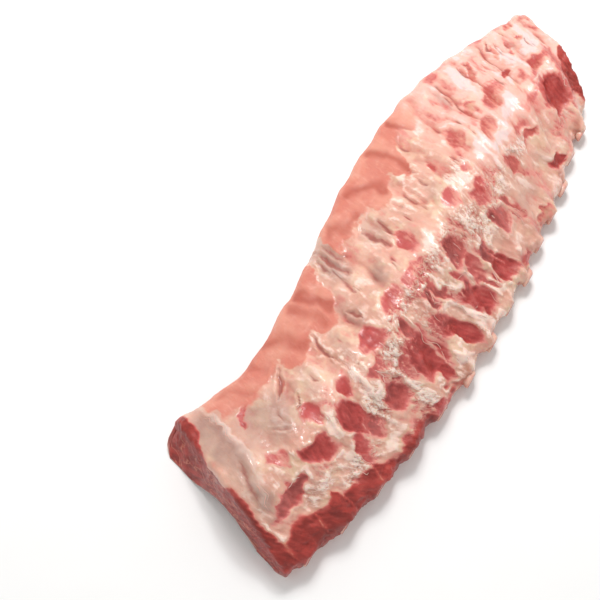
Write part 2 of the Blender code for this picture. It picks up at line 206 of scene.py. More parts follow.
# Folds and lifted edges: width in mm, depth in mm (a ridge where negative), then its (rib, across) stops
CREASES = (
    (1.6, 1.6, (1.66, 0.62), (1.46, 0.5), (1.24, 0.38)),
    (1.3, 1.1, (1.62, 0.24), (1.48, 0.14), (1.34, 0.1)),
    (1.4, 1.3, (2.66, 0.5), (2.58, 0.28), (2.66, 0.02)), (1.5, 1.4, (3.58, 0.3), (3.66, 0.06)),
    (1.7, 1.2, (4.02, 0.98), (4.1, 0.7), (4.2, 0.44)), (1.4, 0.9, (3.86, 0.9), (3.92, 0.66)),
    (1.6, 0.9, (4.24, 0.9), (4.36, 0.56)), (1.5, 1.3, (5.1, 0.58), (5.16, 0.36), (5.28, 0.18)),
    (1.4, 1.1, (5.54, 0.48), (5.5, 0.18)), (1, -0.6, (4.98, 0.6), (5.3, 0.62), (5.56, 0.6)),
    (1.5, 0.8, (6.98, 0.46), (7.08, 0.36)), (1.4, 0.8, (9.42, 0.66), (9.34, 0.46)),
    (1.5, 1, (11.8, 0.56), (11.7, 0.72), (11.9, 0.9)), (1.8, 0.9, (10.6, 0.8), (10.7, 0.5)),
    (1.8, 0.9, (12.3, 0.66), (12.3, 0.5)), (1.2, 0.7, (0.72, 0.2), (0.98, 0.04)),
    (2.6, -1.2, (-0.1, 0.96), (-0.02, 0.74), (0.06, 0.55), (0, 0.36), (0.02, 0.1), (-0.06, -0.14)),
    (2.2, -0.9, (-0.06, -0.14), (-0.22, -0.36), (-0.3, -0.6)),
    (1.8, 0.8, (-0.12, 0.2), (-0.26, -0.1), (-0.34, -0.4)),
    (1.5, -0.7, (-0.32, -0.6), (-0.34, -0.82), (-0.3, -1)),
    (1.5, -0.8, (1.72, -0.06), (1.78, -0.24), (1.82, -0.46)),
    (1.8, -0.8, (2.72, 0.1), (2.78, -0.16), (2.84, -0.5)),
    (1.4, -1.1, (3.02, -0.3), (3.5, -0.46), (3.7, -0.72)),
    (1.3, -1.3, (4.22, -0.2), (4.36, -0.36), (4.6, -0.62), (4.74, -0.9)),
    (1.5, -1.4, (5.08, -0.26), (5.3, -0.44), (5.7, -0.66), (5.95, -0.9)),
    (1.6, -1.2, (4.86, -0.72), (5.16, -0.96)), (1.3, -1.3, (5.96, -0.42), (6.3, -0.56), (6.62, -0.66)),
    (1.7, -1.3, (5.8, -0.72), (6.2, -0.9), (6.4, -0.98)),
    (1.3, -1, (6.86, -0.26), (7.2, -0.4), (7.5, -0.52)),
    (1.6, -1.3, (6.92, -0.64), (7.2, -0.86), (7.4, -0.96)),
    (1.5, -1, (8.2, -0.44), (8.6, -0.62), (8.9, -0.8)), (1.4, -0.9, (9.6, -0.3), (9.9, -0.44)),
    (1.5, -0.8, (12.1, -0.3), (11.9, -0.1), (12.6, -0.08)), (2, -1.1, (13.05, -0.14), (13.1, -0.66)),
    (0.9, -0.7, (2.36, -0.44), (2.3, -0.6), (2.24, -0.76)),
    (0.7, -0.6, (5, -0.3), (5.3, -0.5), (5.46, -0.62)),
    (0.9, -0.8, (6.1, -0.4), (6.3, -0.5), (6.52, -0.56)),
    (0.8, -0.7, (7, -0.5), (7.3, -0.7), (7.56, -0.84)), (1.8, 0.6, (10.4, 0.78), (10.5, 0.44)),
    (1.8, 0.5, (8.9, 0.5), (8.96, 0.14)), (0.8, -0.75, (0.5, -0.68), (0.6, -0.98)),
    (0.8, -0.75, (1.16, -0.72), (1.32, -0.99)), (0.8, -0.75, (1.96, -0.76), (2.1, -0.98)),
    (1.8, 0.6, (11.1, 0.7), (11.2, 0.36)), (1.8, 0.6, (6.1, 0.4), (6.2, 0.16)),
    (1.8, 0.6, (6.6, 0.34), (6.56, 0.06)), (1.8, 0.5, (7.7, 0.56), (7.66, 0.34)),
)

# The thin salmon-coloured skin reaches down from the flap edge to here, in lobes over the ribs
SALMON_REACH = (
    (-0.66, 1.3), (-0.1, 1.2), (0.04, 0.86), (0.16, 0.62), (0.5, 0.6), (0.8, 0.56), (1.1, 0.66),
    (1.4, 0.62), (1.74, 0.66), (1.86, 0.48), (2.2, 0.4), (2.5, 0.44), (2.74, 0.56), (2.84, 0.38),
    (3.2, 0.32), (3.5, 0.38), (3.62, 0.6), (3.74, 1.3), (4.22, 1.3), (4.4, 0.66), (5, 0.62), (5.6, 0.62),
    (5.84, 0.46), (6.2, 0.42), (6.42, 0.56), (6.7, 0.62), (6.92, 0.4), (7.12, 0.42), (7.3, 0.66),
    (7.8, 0.8), (8.1, 0.6), (8.5, 0.74), (8.9, 0.62), (9.3, 0.84), (9.6, 1.3), (14, 1.3),
)
SALMON_FADE = (7.2, 9.6)        # the ribs over which it fades into the fat
# Folds of that skin, darkened as painted shade: width in mm, strength, stops
SALMON_FOLDS = (
    (8, 0.8, (1.9, 0.96), (2.2, 0.74), (2.4, 0.5)), (5, 1, (2.95, 0.92), (3.25, 0.7), (3.46, 0.46)),
    (6, 0.7, (2.7, 0.9), (3, 0.66), (3.1, 0.48)), (7, 0.7, (4.6, 0.88), (5, 0.72), (5.24, 0.66)),
    (6, 0.9, (5.6, 0.92), (5.96, 0.74), (6.24, 0.56)), (6, 0.9, (6.7, 0.92), (7, 0.74), (7.06, 0.46)),
    (4.5, 0.9, (7.66, 0.92), (7.9, 0.76), (7.96, 0.5)), (6, 0.5, (0.4, 0.9), (0.9, 0.7)),
    (5, 0.5, (1.2, 0.94), (1.5, 0.72)), (4.5, 0.6, (8.6, 0.94), (8.8, 0.76)),
)

# Red meat: (rib, across) along the chine edge, and (across, rib) along the cut end and the narrow end
CHINE_MEAT = (
    (-0.66, -0.66), (-0.3, -0.78), (0, -0.7), (0.5, -0.71), (0.84, -0.77), (1.02, -0.69), (1.18, -0.8),
    (1.7, -0.8), (2.1, -0.83), (2.5, -0.9), (3, -0.93), (4, -0.98), (5, -1.04), (14, -1.1),
)
NEAR_MEAT = (
    (-1, -0.38), (-0.6, -0.46), (-0.3, -0.54), (-0.05, -0.58), (0.1, -0.9), (0.35, -0.72), (0.5, -0.48),
    (0.66, -0.38), (0.8, -0.44), (1, -0.6),
)
FAR_MEAT = (
    (-1, 13.8), (-0.85, 13.5), (-0.6, 13.3), (-0.15, 13.36), (0.02, 13.95), (1, 14.2),
)
# Notches in the chine edge: rib and depth in mm, and how wide they are in ribs
NOTCHES = (
    (4.95, 3), (6.15, 3.2), (8.05, 3.4), (9.15, 2), (11, 3.2), (12.8, 2.4), (3.6, 1.2),
)
NOTCH_WIDTH = 0.16


# ---------------------------------------------------------------- small mathematics, on whole arrays

def curve_through(knots, s):
    """Smooth curve through (place, value) knots: a cubic on each span, its slopes those of the neighbours."""
    places, values = np.array(knots).T
    slopes = np.gradient(values, places)
    s = np.clip(s, places[0], places[-1])
    k = np.clip(np.searchsorted(places, s) - 1, 0, len(places) - 2)
    span = places[k + 1] - places[k]
    t = (s - places[k]) / span
    start = (1 + 2 * t) * (1 - t) ** 2 * values[k] + t * (1 - t) ** 2 * span * slopes[k]
    end = t * t * (3 - 2 * t) * values[k + 1] - t * t * (1 - t) * span * slopes[k + 1]
    return start + end


def line_through(knots, x):
    """Straight spans through (place, value) knots."""
    places, values = np.array(knots).T
    return np.interp(x, places, values)


def smooth_step(low, high, x):
    """0 at low and 1 at high, with an even curve between. low may be the larger one."""
    t = np.clip((x - low) / (high - low), 0, 1)
    return t * t * (3 - 2 * t)


MIX_X, MIX_Y, MIX_Z, MIX_SEED, MIX_AGAIN = 73856093, 19349663, 83492791, 2654435, 1274126177
SEED_SHIFT = 31.7
NOISE_GAIN = 1.7
LOW_31_BITS = 0x7FFFFFFF


def corner_slopes(i, j, k, seed):
    """A slope for each lattice corner: three numbers in -1..1, hashed from its whole-number place."""
    mixed = (i * MIX_X ^ j * MIX_Y ^ k * MIX_Z ^ seed * MIX_SEED) & LOW_31_BITS
    mixed = ((mixed ^ (mixed >> 13)) * MIX_AGAIN) & LOW_31_BITS
    mixed ^= mixed >> 16
    return np.stack([mixed & 1023, (mixed >> 10) & 1023, (mixed >> 20) & 1023], axis=-1) / 511.5 - 1


def gradient_noise(points, size, seed):
    """Gradient noise in about -1..1: the slopes at the eight corners round a point are blended. The cells of
    the lattice have one size, or one for each axis."""
    q = points / np.asarray(size) + SEED_SHIFT * seed
    cell = np.floor(q).astype(np.int64)
    within = q - cell
    fade = within ** 3 * (within * (within * 6 - 15) + 10)
    total = 0
    for corner in np.ndindex(2, 2, 2):
        slope = corner_slopes(*((cell + corner).T & 0xFFFFFF), seed)
        weight = np.prod(np.where(corner, fade, 1 - fade), axis=-1)
        total = total + weight * ((within - corner) * slope).sum(axis=-1)
    return np.clip(total * NOISE_GAIN, -1, 1)


def layered_noise(points, size, seed, layers=3):
    """Gradient noise summed over layers, each half the size and strength of the one before."""
    size = np.asarray(size)
    total = sum(0.5 ** k * gradient_noise(points, size / 2 ** k, seed + 7 * k) for k in range(layers))
    return total / sum(0.5 ** k for k in range(layers))


def creases_noise(points, size, seed, layers=2):
    """Ridged noise in 0..1: 1 along thin winding lines where the noise crosses zero, and low between them."""
    size = np.asarray(size)
    lines = [1 - np.abs(gradient_noise(points, size / 2 ** k, seed + 11 * k)) for k in range(layers)]
    return sum(0.5 ** k * line ** 3 for k, line in enumerate(lines)) / sum(0.5 ** k for k in range(layers))


def washes(spots, rib, across, strongest=False):
    """Strength of the soft spots at each place, summed or the strongest. Each fades from half its size on."""
    total = np.zeros_like(rib)
    for spot in spots:
        aside = rib - spot.rib + spot.lean * (across - spot.across)
        reach = np.hypot(aside / spot.wide, (across - spot.across) / spot.long)
        cover = spot.strength * smooth_step(1.35, 0.45, reach)
        total = np.maximum(total, cover) if strongest else total + cover
    return total


def distance_to_path(stops, rib, across, taper=0.0):
    """Distance in mm from each place to a path of (rib, across) stops, the nearest of its straight spans.
    With a taper, up to so many mm are added towards both ends, so that a line drawn from it thins out."""
    scale = 1000 * np.array((RIB_PITCH, HALF_WIDTH))
    place = np.stack([rib, across], axis=-1) * scale
    nearest = np.full(rib.shape, np.inf)
    for k, (a, b) in enumerate(zip(stops, stops[1:])):
        a, b = np.array(a) * scale, np.array(b) * scale
        t = np.clip(((place - a) @ (b - a)) / ((b - a) @ (b - a)), 0, 1)
        progress = 2 * (k + t) / (len(stops) - 1) - 1
        span = np.linalg.norm(place - a - t[..., None] * (b - a), axis=-1) + taper * np.abs(progress) ** 3
        nearest = np.minimum(nearest, span)
    return nearest


# ---------------------------------------------------------------- the slab's form, as in its solid

def rib_number(s):
    """0 at the middle of the first rib, 1 at the middle of the next, and so on."""
    return curve_through(RIBS_BEFORE, s)


def rib_ridge(s):
    """1 along the middle of each rib, falling to 0 between two ribs."""
    return (0.5 + 0.5 * np.cos(2 * math.pi * rib_number(s))) ** 1.3


def place_of_rib(rib):
    """The s of a rib number."""
    along = np.linspace(SLAB_START, SLAB_END, 1001)
    return np.interp(rib, rib_number(along), along)


def end_fade(s):
    """1 over most of the slab, falling in a quarter circle towards 0 at both ends: short at the cut one."""
    past_near = (SLAB_START + NEAR_ROUNDING - s) / NEAR_ROUNDING
    past_far = (s - SLAB_END + FAR_ROUNDING) / FAR_ROUNDING
    return np.sqrt(1 - np.clip(np.maximum(past_near, past_far), 0, 1) ** 2)


def edges(s):
    """Y of the chine edge, with an uneven knob at each rib, and of the flap edge, gently scalloped."""
    uneven = 0.8 + 0.35 * np.sin(2.4 * np.round(rib_number(s)) + 1)
    knob = CHINE_KNOB * uneven * rib_ridge(s) * (0.3 + 0.7 * smooth_step(-0.10, -0.02, s))
    chine = curve_through(CHINE_EDGE, s) - knob
    flap = curve_through(FLAP_EDGE, s) + FLAP_SCALLOP * np.sin(math.pi * rib_number(s)) ** 2
    corner = CORNER_CUT * (1 - end_fade(s))
    return chine + corner, flap - corner


def lie_of(s, n):
    """(y, middle height, share of full thickness) of the slab's middle surface. The section is an arch on two
    flat feet: its rise falls as a squared cosine to each, and its thickness as a square-cornered ellipse."""
    chine, flap = edges(s)
    y = (chine + flap) / 2 + n * (flap - chine) / 2
    across = np.clip((n + APEX_SKEW * (1 - n * n)) / ARCH_REACH, -1, 1)
    rise = curve_through(ARCH_RISE, s) * np.cos(across * math.pi / 2) ** 2
    return y, EDGE_HEIGHT + rise, np.sqrt(1 - np.abs(n) ** EDGE_SQUARENESS)


def swell(s, y):
    """Broad, low unevenness of the meat, as a product of two waves."""
    return 0.0011 * np.sin(31 * s + 0.6) * np.cos(47 * y + 12 * s) + 0.0006 * np.sin(83 * s - 40 * y)


def top_of(s, n):
    """Height of the outer side: the cover over the arch, ridged along the ribs but hardly so on the flap."""
    y, middle, share = lie_of(s, n)
    ridge = TOP_RIDGE * (rib_ridge(s) - 0.5) * (1 - 0.7 * smooth_step(0.1, 0.6, n))
    cover = curve_through(COVER_ABOVE, s) * (0.72 + 0.28 * end_fade(s))
    return middle + share * (cover + ridge + swell(s, y))


def under_of(s, n):
    """Height of the inner side, which is flat where it rests and ridged along the ribs in between."""
    _, middle, share = lie_of(s, n)
    ridge = UNDER_RIDGE * (rib_ridge(s) - 0.5) * smooth_step(0.0, 0.006, middle - EDGE_HEIGHT)
    return np.maximum(middle - share * (FLESH_BELOW + ridge), 0)


def placed(s, n, z):
    """The point of the slab at (s, n) and height z. The near end's cut face leans out towards its foot."""
    y = lie_of(s, n)[0]
    depth = np.clip(1 - z / top_of(s, n), 0, 1)
    lean = CUT_FACE_LEAN * depth * (0.55 + 0.45 * n) * smooth_step(SLAB_START + CUT_FACE_DEPTH, SLAB_START, s)
    return np.stack([s + curve_through(RIB_SLANT, s) * y - lean, y, z], axis=-1) - PLAN_MIDDLE


# ---------------------------------------------------------------- the detailed flesh

class Slab:
    """The flesh as a grid: one row for each section along the rack, and one column for each place round it,
    first over the outer side from flap to chine and then back along the inner side. At both ends further rows
    close the grid: the section shrinks onto its own middle line, which makes the cut face."""

    def __init__(self):
        turn = np.linspace(1, -1, SPANS_OUTER + 1)
        outer_n = 0.5 * turn + 0.5 * np.sin(turn * math.pi / 2)
        inner_n = outer_n[::-2][1:-1]
        self.n_row = np.concatenate([outer_n, inner_n])
        is_inner = np.repeat([0.0, 1.0], [len(outer_n), len(inner_n)])
        s, n = np.meshgrid(np.linspace(SLAB_START, SLAB_END, SECTIONS), self.n_row, indexing="ij")
        body = placed(s, n, np.where(is_inner > 0, under_of(s, n), top_of(s, n)))
        near, near_depth = self.cap(body[0])
        far, far_depth = self.cap(body[-1])
        self.base = np.concatenate([near[::-1], body, far])
        hold = np.ones((CAP_RINGS, 1))
        self.s = np.concatenate([s[:1] * hold, s, s[-1:] * hold])
        self.n = np.concatenate([n[:1] * hold, n, n[-1:] * hold])
        self.cap_depth = np.concatenate([near_depth[::-1], np.zeros_like(s), far_depth])
        self.rib = rib_number(self.s)
        self.inner = np.broadcast_to(is_inner, self.s.shape)
        self.normal = self.normals(self.base)

    def cap(self, ring):
        """Rows that draw a section in towards its middle line, and how far in each is, from 0 to 1."""
        n_outer, n_inner = np.split(self.n_row, [SPANS_OUTER + 1])
        outer, inner = np.split(ring, [SPANS_OUTER + 1])
        order = np.argsort(n_outer)
        lower = [np.interp(n_outer, n_inner, inner[:, axis], outer[-1, axis], outer[0, axis])
                 for axis in range(3)]
        middle_outer = (outer + np.stack(lower, axis=-1)) / 2
        middle_inner = [np.interp(n_inner, n_outer[order], middle_outer[order, axis]) for axis in range(3)]
        middle = np.concatenate([middle_outer, np.stack(middle_inner, axis=-1)])
        share = (np.arange(1, CAP_RINGS + 1) / CAP_RINGS * CAP_REACH)[:, None]
        rows = ring + share[..., None] * (middle - ring)
        return rows, share * np.ones(len(ring))

    def look_up(self, values, rib, across):
        """The grid's values at places on its outer side, between its four nearest points."""
        row = (place_of_rib(rib) - SLAB_START) / (SLAB_END - SLAB_START) * (SECTIONS - 1) + CAP_RINGS
        row = np.clip(row, CAP_RINGS, CAP_RINGS + SECTIONS - 1.001)
        column = np.interp(-across, -self.n_row[:SPANS_OUTER + 1], np.arange(SPANS_OUTER + 1))
        column = np.clip(column, 0, SPANS_OUTER - 0.001)
        i, j = row.astype(int), column.astype(int)
        di, dj = row - i, column - j
        if values.ndim == 3:
            di, dj = di[..., None], dj[..., None]
        near = values[i, j] * (1 - dj) + values[i, j + 1] * dj
        far = values[i + 1, j] * (1 - dj) + values[i + 1, j + 1] * dj
        return near * (1 - di) + far * di

    @staticmethod
    def normals(points):
        """Unit normals of the grid: the cross product of its two directions, by central differences."""
        along = np.gradient(points, axis=0)
        around = np.roll(points, -1, axis=1) - np.roll(points, 1, axis=1)
        return unit(np.cross(around, along))

    def faces(self):
        """Quads between neighbouring rows, and five-cornered faces across the slit at both ends."""
        rows, columns = self.s.shape
        index = np.arange(rows * columns).reshape(rows, columns)
        following = np.roll(index, -1, axis=1)
        quads = np.stack([index[:-1], following[:-1], following[1:], index[1:]], axis=-1)
        quads = quads.reshape(-1, 4).tolist()
        slits = []
        for row, flip in ((0, False), (rows - 1, True)):
            ring = index[row].tolist()
            inner = ring[:1] + ring[:SPANS_OUTER:-1] + [ring[SPANS_OUTER]]
            for k in range(SPANS_INNER):
                corners = [inner[k], ring[2 * k], ring[2 * k + 1], ring[2 * k + 2], inner[k + 1]]
                corners = list(dict.fromkeys(corners))
                slits.append(corners if flip else corners[::-1])
        return quads + slits


SQUARE = 2.8        # how square-cornered the deep red windows are, and the pink ones
ROUND = 1.9
PINK_FROM = 0.2     # the tone from which a window counts as pink


def meat_windows(rib, across):
    """(cover, soft cover, depth in mm, tone, rim, slope) of the red windows. Each is a lens that leans with
    the fibres. Its soft cover spreads past its edge, its rim is the low bank of fat just outside it, and its
    slope runs from -1 at its end towards the flap to 1 at its other end; the -1 end is left darker as painted
    shade."""
    cover, soft, depth, tone, rim, slope = (np.zeros_like(rib) for _ in range(6))
    for window in WINDOWS:
        aside = (rib - window.rib + window.lean * (across - window.across)) / window.wide
        ahead = (across - window.across) / window.long
        power, edge, core = (SQUARE, 1.22, 0.76) if window.tone < PINK_FROM else (ROUND, 1.42, 0.42)
        reach = (np.abs(aside) ** power + np.abs(ahead) ** power) ** (1 / power)
        inside = smooth_step(edge, core, reach)
        tone = np.where(inside > cover, window.tone, tone)
        slope = np.where(inside > cover, np.clip(0.5 * aside - ahead, -1, 1), slope)
        cover = np.maximum(cover, inside)
        soft = np.maximum(soft, smooth_step(2.0, 0.90, reach))
        depth = np.maximum(depth, window.deep * smooth_step(1.15, 0.62, reach))
        rim = np.maximum(rim, smooth_step(1.65, 1.22, reach) * smooth_step(0.95, 1.18, reach))
    return cover, soft, depth, tone, rim, slope


def folds(rib, across, lumps, fine):
    """(ridge lines, fold lines, lips, relief in mm) of the folds and lifted edges. Each fades evenly to both
    sides of its path, whose distance the noise makes uneven, and a fold has a raised lip on either side."""
    ridge_lines, fold_lines, lips, relief = (np.zeros_like(rib) for _ in range(4))
    for width, deep, *stops in CREASES:
        distance = distance_to_path(stops, rib, across, 1.1 * width) * (1 + 0.7 * lumps) + 0.25 * np.abs(fine)
        relief = relief - deep * smooth_step(1.9 * width, 0.0, distance)
        line = smooth_step(1.6 * width, 0.0, distance) * min(1, abs(deep) / 1.1)
        if deep > 0:
            lip = smooth_step(1.1 * width, 1.8 * width, distance)
            lip = lip * smooth_step(3.0 * width, 2.0 * width, distance)
            relief = relief + 0.4 * deep * lip
            lips = np.maximum(lips, lip)
            fold_lines = np.maximum(fold_lines, line)
        else:
            ridge_lines = np.maximum(ridge_lines, line)
    return ridge_lines, fold_lines, lips, relief


def notches(rib):
    """Depth in mm of the notches between the lobes of meat along the chine edge, each a bell curve."""
    return sum(deep * np.exp(-((rib - place) / NOTCH_WIDTH) ** 2) for place, deep in NOTCHES)


STRAND_PALE = 0.42      # the strand noise from which fat looks whiter, and from which it is raised
STRAND_RAISED = 0.45
CRUMPLE_MIDDLE = 0.62
FIBRE_BEND = 0.08       # how sharply, and from where across, the fibres start to lean over
FIBRE_BEND_AT = -0.52


class Grain:
    """Noise that is drawn out along the fibres, which run along the ribs on the flap's half and lean over
    towards the far end on the chine's half. The rib number and the place across are bent by it: bent_rib and
    bent_across by broad noise alone, wavy_rib and wavy_across by fine noise too."""

    def __init__(self, slab):
        rib, across = slab.rib, slab.n
        bend = 0.35 * across - 1.3 * FIBRE_BEND * np.logaddexp(0, -(across - FIBRE_BEND_AT) / FIBRE_BEND)
        self.place = np.stack([RIB_PITCH * (rib + bend), HALF_WIDTH * across, slab.base[..., 2]], axis=-1)
        flat = self.place.reshape(-1, 3)

        def field(maker, size, seed, *layers):
            return maker(flat, size, seed, *layers).reshape(rib.shape)

        self.bent_rib = rib + 0.16 * field(layered_noise, (0.012, 0.018, 0.012), 3, 2)
        self.bent_across = across + 0.065 * field(layered_noise, (0.012, 0.014, 0.012), 6, 2)
        self.wavy_rib = self.bent_rib + 0.05 * field(gradient_noise, 0.0042, 4)
        self.wavy_across = self.bent_across + 0.020 * field(gradient_noise, 0.0042, 7)
        self.shift = np.stack([self.wavy_rib - rib, self.wavy_across - across], axis=-1)
        self.patch = field(layered_noise, (0.012, 0.020, 0.012), 5, 2)
        self.strands = field(creases_noise, (0.0085, 0.034, 0.012), 9)
        self.fine_strands = field(creases_noise, (0.0036, 0.014, 0.006), 11)
        self.crumple = 1 - field(creases_noise, (0.0034, 0.0052, 0.0042), 13)
        self.lumps = field(layered_noise, (0.0075, 0.0115, 0.0080), 17)
        self.fine = field(layered_noise, (0.0018, 0.0034, 0.0020), 29, 2)

    def pale(self, broad, narrow):
        """Whiter along the strands, by so much along the broad and the narrow ones."""
        return broad * (self.strands - STRAND_PALE) + narrow * (self.fine_strands - STRAND_PALE)

    def raised(self, broad, narrow):
        """Raised along the strands, in the same way."""
        return broad * (self.strands - STRAND_RAISED) + narrow * (self.fine_strands - STRAND_RAISED)


def salmon_skin(rib, far, grain):
    """(cover, folds) of the salmon-coloured skin. Its lobed edge is softer towards both ends of the rack."""
    reach = line_through(SALMON_REACH, grain.wavy_rib) + 0.03 * grain.fine + 0.03 * (grain.fine_strands - 0.4)
    spread = 0.05 + 0.07 * smooth_step(1.6, 0.6, rib) + 0.10 * far
    cover = smooth_step(-spread, spread, grain.wavy_across - reach)
    cover = cover * smooth_step(SALMON_FADE[1], SALMON_FADE[0], rib)
    fold = np.zeros_like(rib)
    for width, strength, *stops in SALMON_FOLDS:
        distance = distance_to_path(stops, grain.bent_rib, grain.bent_across)
        fold = np.maximum(fold, strength * smooth_step(width, 0, distance + 0.8 * grain.patch))
    return cover, fold


def fingers(rib, across, salmon, grain):
    """(zone, creases, place from -0.5 to 0.5 across a finger). On the flap's half each rib shows as two soft
    ridges, parted by winding creases."""
    finger = 2 * (rib + 0.14 * grain.patch + 0.05 * np.sin(9 * across + 2 * np.floor(rib)))
    apart = finger - np.round(finger)
    crease = np.exp(-(apart / 0.09) ** 2) * smooth_step(-0.20, 0.30, grain.patch + 0.3 * grain.lumps)
    zone = smooth_step(-0.10, 0.12, across) * smooth_step(0.98, 0.80, across)
    zone = zone * (1 - salmon) * smooth_step(0.2, 0.9, rib)
    return zone, crease * zone, apart


class Zones:
    """Which part of the rack each point belongs to, mostly as shares from 0 to 1."""

    def __init__(self, slab, grain):
        rib, across = slab.rib, slab.n
        wavy = grain.wavy_rib, grain.wavy_across
        self.rib, self.across = rib, across
        self.ribbed = rib_ridge(slab.s)
        self.low = smooth_step(0.12, -0.28, across)
        self.far = smooth_step(7.2, 9.5, rib)

        # The cut faces, the inner side, and the outer side, whose looks run on round the rim
        self.cut = smooth_step(0.0, 0.10, slab.cap_depth)
        inner = slab.inner * smooth_step(1.0, 0.94, np.abs(across))
        self.under = inner * (1 - self.cut)
        self.outer = (1 - inner) * (1 - self.cut)

        # Crumpled and streaky fat, the two skins, the fingers of the flap and the folds
        self.lace = np.clip(washes(CRUMPLED, grain.bent_rib, grain.bent_across, strongest=True), 0, 1)
        self.streaks = self.low * (1 - self.lace) * (1 - 0.4 * self.far)
        self.grey = np.clip(washes(GREY, *wavy, strongest=True), 0, 1)
        self.salmon, self.salmon_fold = salmon_skin(rib, self.far, grain)
        self.fingers, self.finger_crease, self.finger_place = fingers(rib, across, self.salmon, grain)
        self.ridge_lines, self.fold_lines, self.fold_lips, self.fold_relief = folds(
            0.5 * rib + 0.5 * wavy[0], 0.5 * across + 0.5 * wavy[1], grain.lumps, grain.fine)

        # Red meat: in the windows, partly hidden by crumpled fat, along the chine edge, and at both ends
        cover, self.soft, self.depth, self.tone, self.rim, self.slope = meat_windows(*wavy)
        hidden = 0.8 * smooth_step(0.66, 0.86, grain.fine_strands + 0.2 * grain.patch) * self.lace
        self.cover = cover * (1 - hidden)
        chine = smooth_step(0.05, -0.03, wavy[1] - line_through(CHINE_MEAT, rib))
        near_end = smooth_step(0.08, -0.05, wavy[0] - line_through(NEAR_MEAT, across))
        far_end = smooth_step(-0.06, 0.10, wavy[0] - line_through(FAR_MEAT, across))
        self.edge_meat = np.maximum.reduce([chine, near_end, far_end])
        self.red = np.maximum(self.cover, self.edge_meat) * (1 - 0.75 * self.ridge_lines)


def fat_thickness(zone, grain):
    """Thickness of the fat over the meat: 0 is bare meat, 0.5 thin pink fat, 0.8 cream and 1 or more frosty
    white. Over red meat it is that of the film of fat on it."""
    patch, lumps, fine_strands = grain.patch, grain.lumps, grain.fine_strands
    fat = 0.80 + 0.05 * zone.low + 0.10 * patch + 0.16 * lumps
    # The white washes near the middle towards the narrow end are painted highlights on the wet ridge
    fat += washes(FAT_AND_HIGHLIGHT_WASHES, grain.wavy_rib, grain.wavy_across) * (1 + 0.6 * lumps)
    fat += zone.lace * (0.90 * (grain.crumple - CRUMPLE_MIDDLE) + grain.pale(0.55, 0.40) - 0.14)
    fat += zone.streaks * grain.pale(0.34, 0.22)
    # Finger creases darker and rib middles lighter: painted shade and painted light that follow the relief
    fat += zone.fingers * (1 - 0.4 * zone.far) * grain.pale(0.34, 0.14) - 0.28 * zone.finger_crease
    fat += zone.fingers * 0.14 * (zone.ribbed - 0.5)
    fat += zone.far * zone.low * (0.24 * patch + 0.12 * lumps)
    fat += zone.far * (1 - zone.low) * (0.26 * (patch + lumps) - 0.04)
    halo = zone.soft * np.clip(0.5 + 1.5 * patch - 0.6 * lumps, 0, 1)
    fat += 0.26 * zone.rim * (0.2 + fine_strands) - 0.50 * halo * (0.45 + 0.55 * zone.low)
    # Fold lines are darkened as painted shade, and ridge lines and fold lips lightened, partly as painted
    # light
    fat += 0.28 * zone.ridge_lines + 0.14 * zone.fold_lips - 0.22 * zone.fold_lines
    fat = np.clip(fat, 0.44, 1.25) * (1 - zone.red)

    veil = 0.22 * smooth_step(1.2, 0.5, zone.depth)
    veil += (0.16 + 0.12 * zone.far) * smooth_step(0.1, 0.7, zone.tone)
    # 0.16 * slope thins the film at each window's flap-side end: painted shade under the fat's bank
    film = 0.13 + zone.cover * (veil + 0.16 * zone.slope) + 0.22 * (fine_strands - 0.3)
    fat += zone.red * (film + 0.08 * grain.fine + 0.20 * patch)
    # Bare meat along the edges and ends, short of the narrow end, is left darker: painted shade
    return fat - 0.10 * zone.edge_meat * (1 - zone.cover) * (1 - zone.far)


def relief_in_mm(zone, grain):
    """How far each point is lifted: fat is raised along its strands, and windows and folds are sunk."""
    lumps, fine_strands = grain.lumps, grain.fine_strands
    smooth_skin = np.clip(0.85 * zone.salmon + 0.8 * zone.grey, 0, 1)
    rough = (1 - smooth_skin) * (1 - zone.red)
    bank = zone.rim * (0.2 + 1.1 * fine_strands) * (1 - zone.red) * (0.4 + 0.6 * zone.low)
    lift = zone.fold_relief - 0.62 * zone.depth + 0.5 * bank
    lift += zone.lace * rough * (1.9 * (grain.crumple - CRUMPLE_MIDDLE) + grain.raised(1.5, 0.9))
    lift += zone.streaks * rough * grain.raised(1.2, 0.5)
    waves = 1.2 * (zone.ribbed - 0.5) - 0.3 * np.cos(2 * math.pi * zone.finger_place)
    lift += zone.fingers * (grain.raised(0.9, 0) + waves - 1.3 * zone.finger_crease)
    lift += lumps * (0.85 - 0.50 * smooth_skin) + 0.5 * grain.patch + 0.16 * grain.fine * rough
    lift += zone.salmon * (0.20 - 0.7 * zone.salmon_fold)
    lift += zone.red * (0.30 * (fine_strands - 0.4) + 0.3 * lumps)
    lift += zone.edge_meat * (0.5 * lumps + 0.5 * (grain.crumple - 0.6))
    lift *= zone.outer

    # The chine rim, drawn in at its notches over its whole height, with a collar round each sawn bone
    chine_rim = smooth_step(-0.80, -0.99, zone.across) * (1 - zone.cut)
    collar = 1.7 * zone.ribbed * smooth_step(-0.88, -0.98, zone.across)
    lift += chine_rim * (0.9 * lumps - 0.4 - notches(zone.rib) + collar)
    # The cut faces: fibres in bundles
    lift += zone.cut * (lumps + 0.5 * grain.crumple - 0.6)
    # The inner side: a thin membrane, tight over the ribs and sunk between them
    sunk = -0.6 * (1 - zone.ribbed) * smooth_step(0.95, 0.7, np.abs(zone.across))
    return lift + zone.under * (sunk + 0.5 * lumps - 0.25)


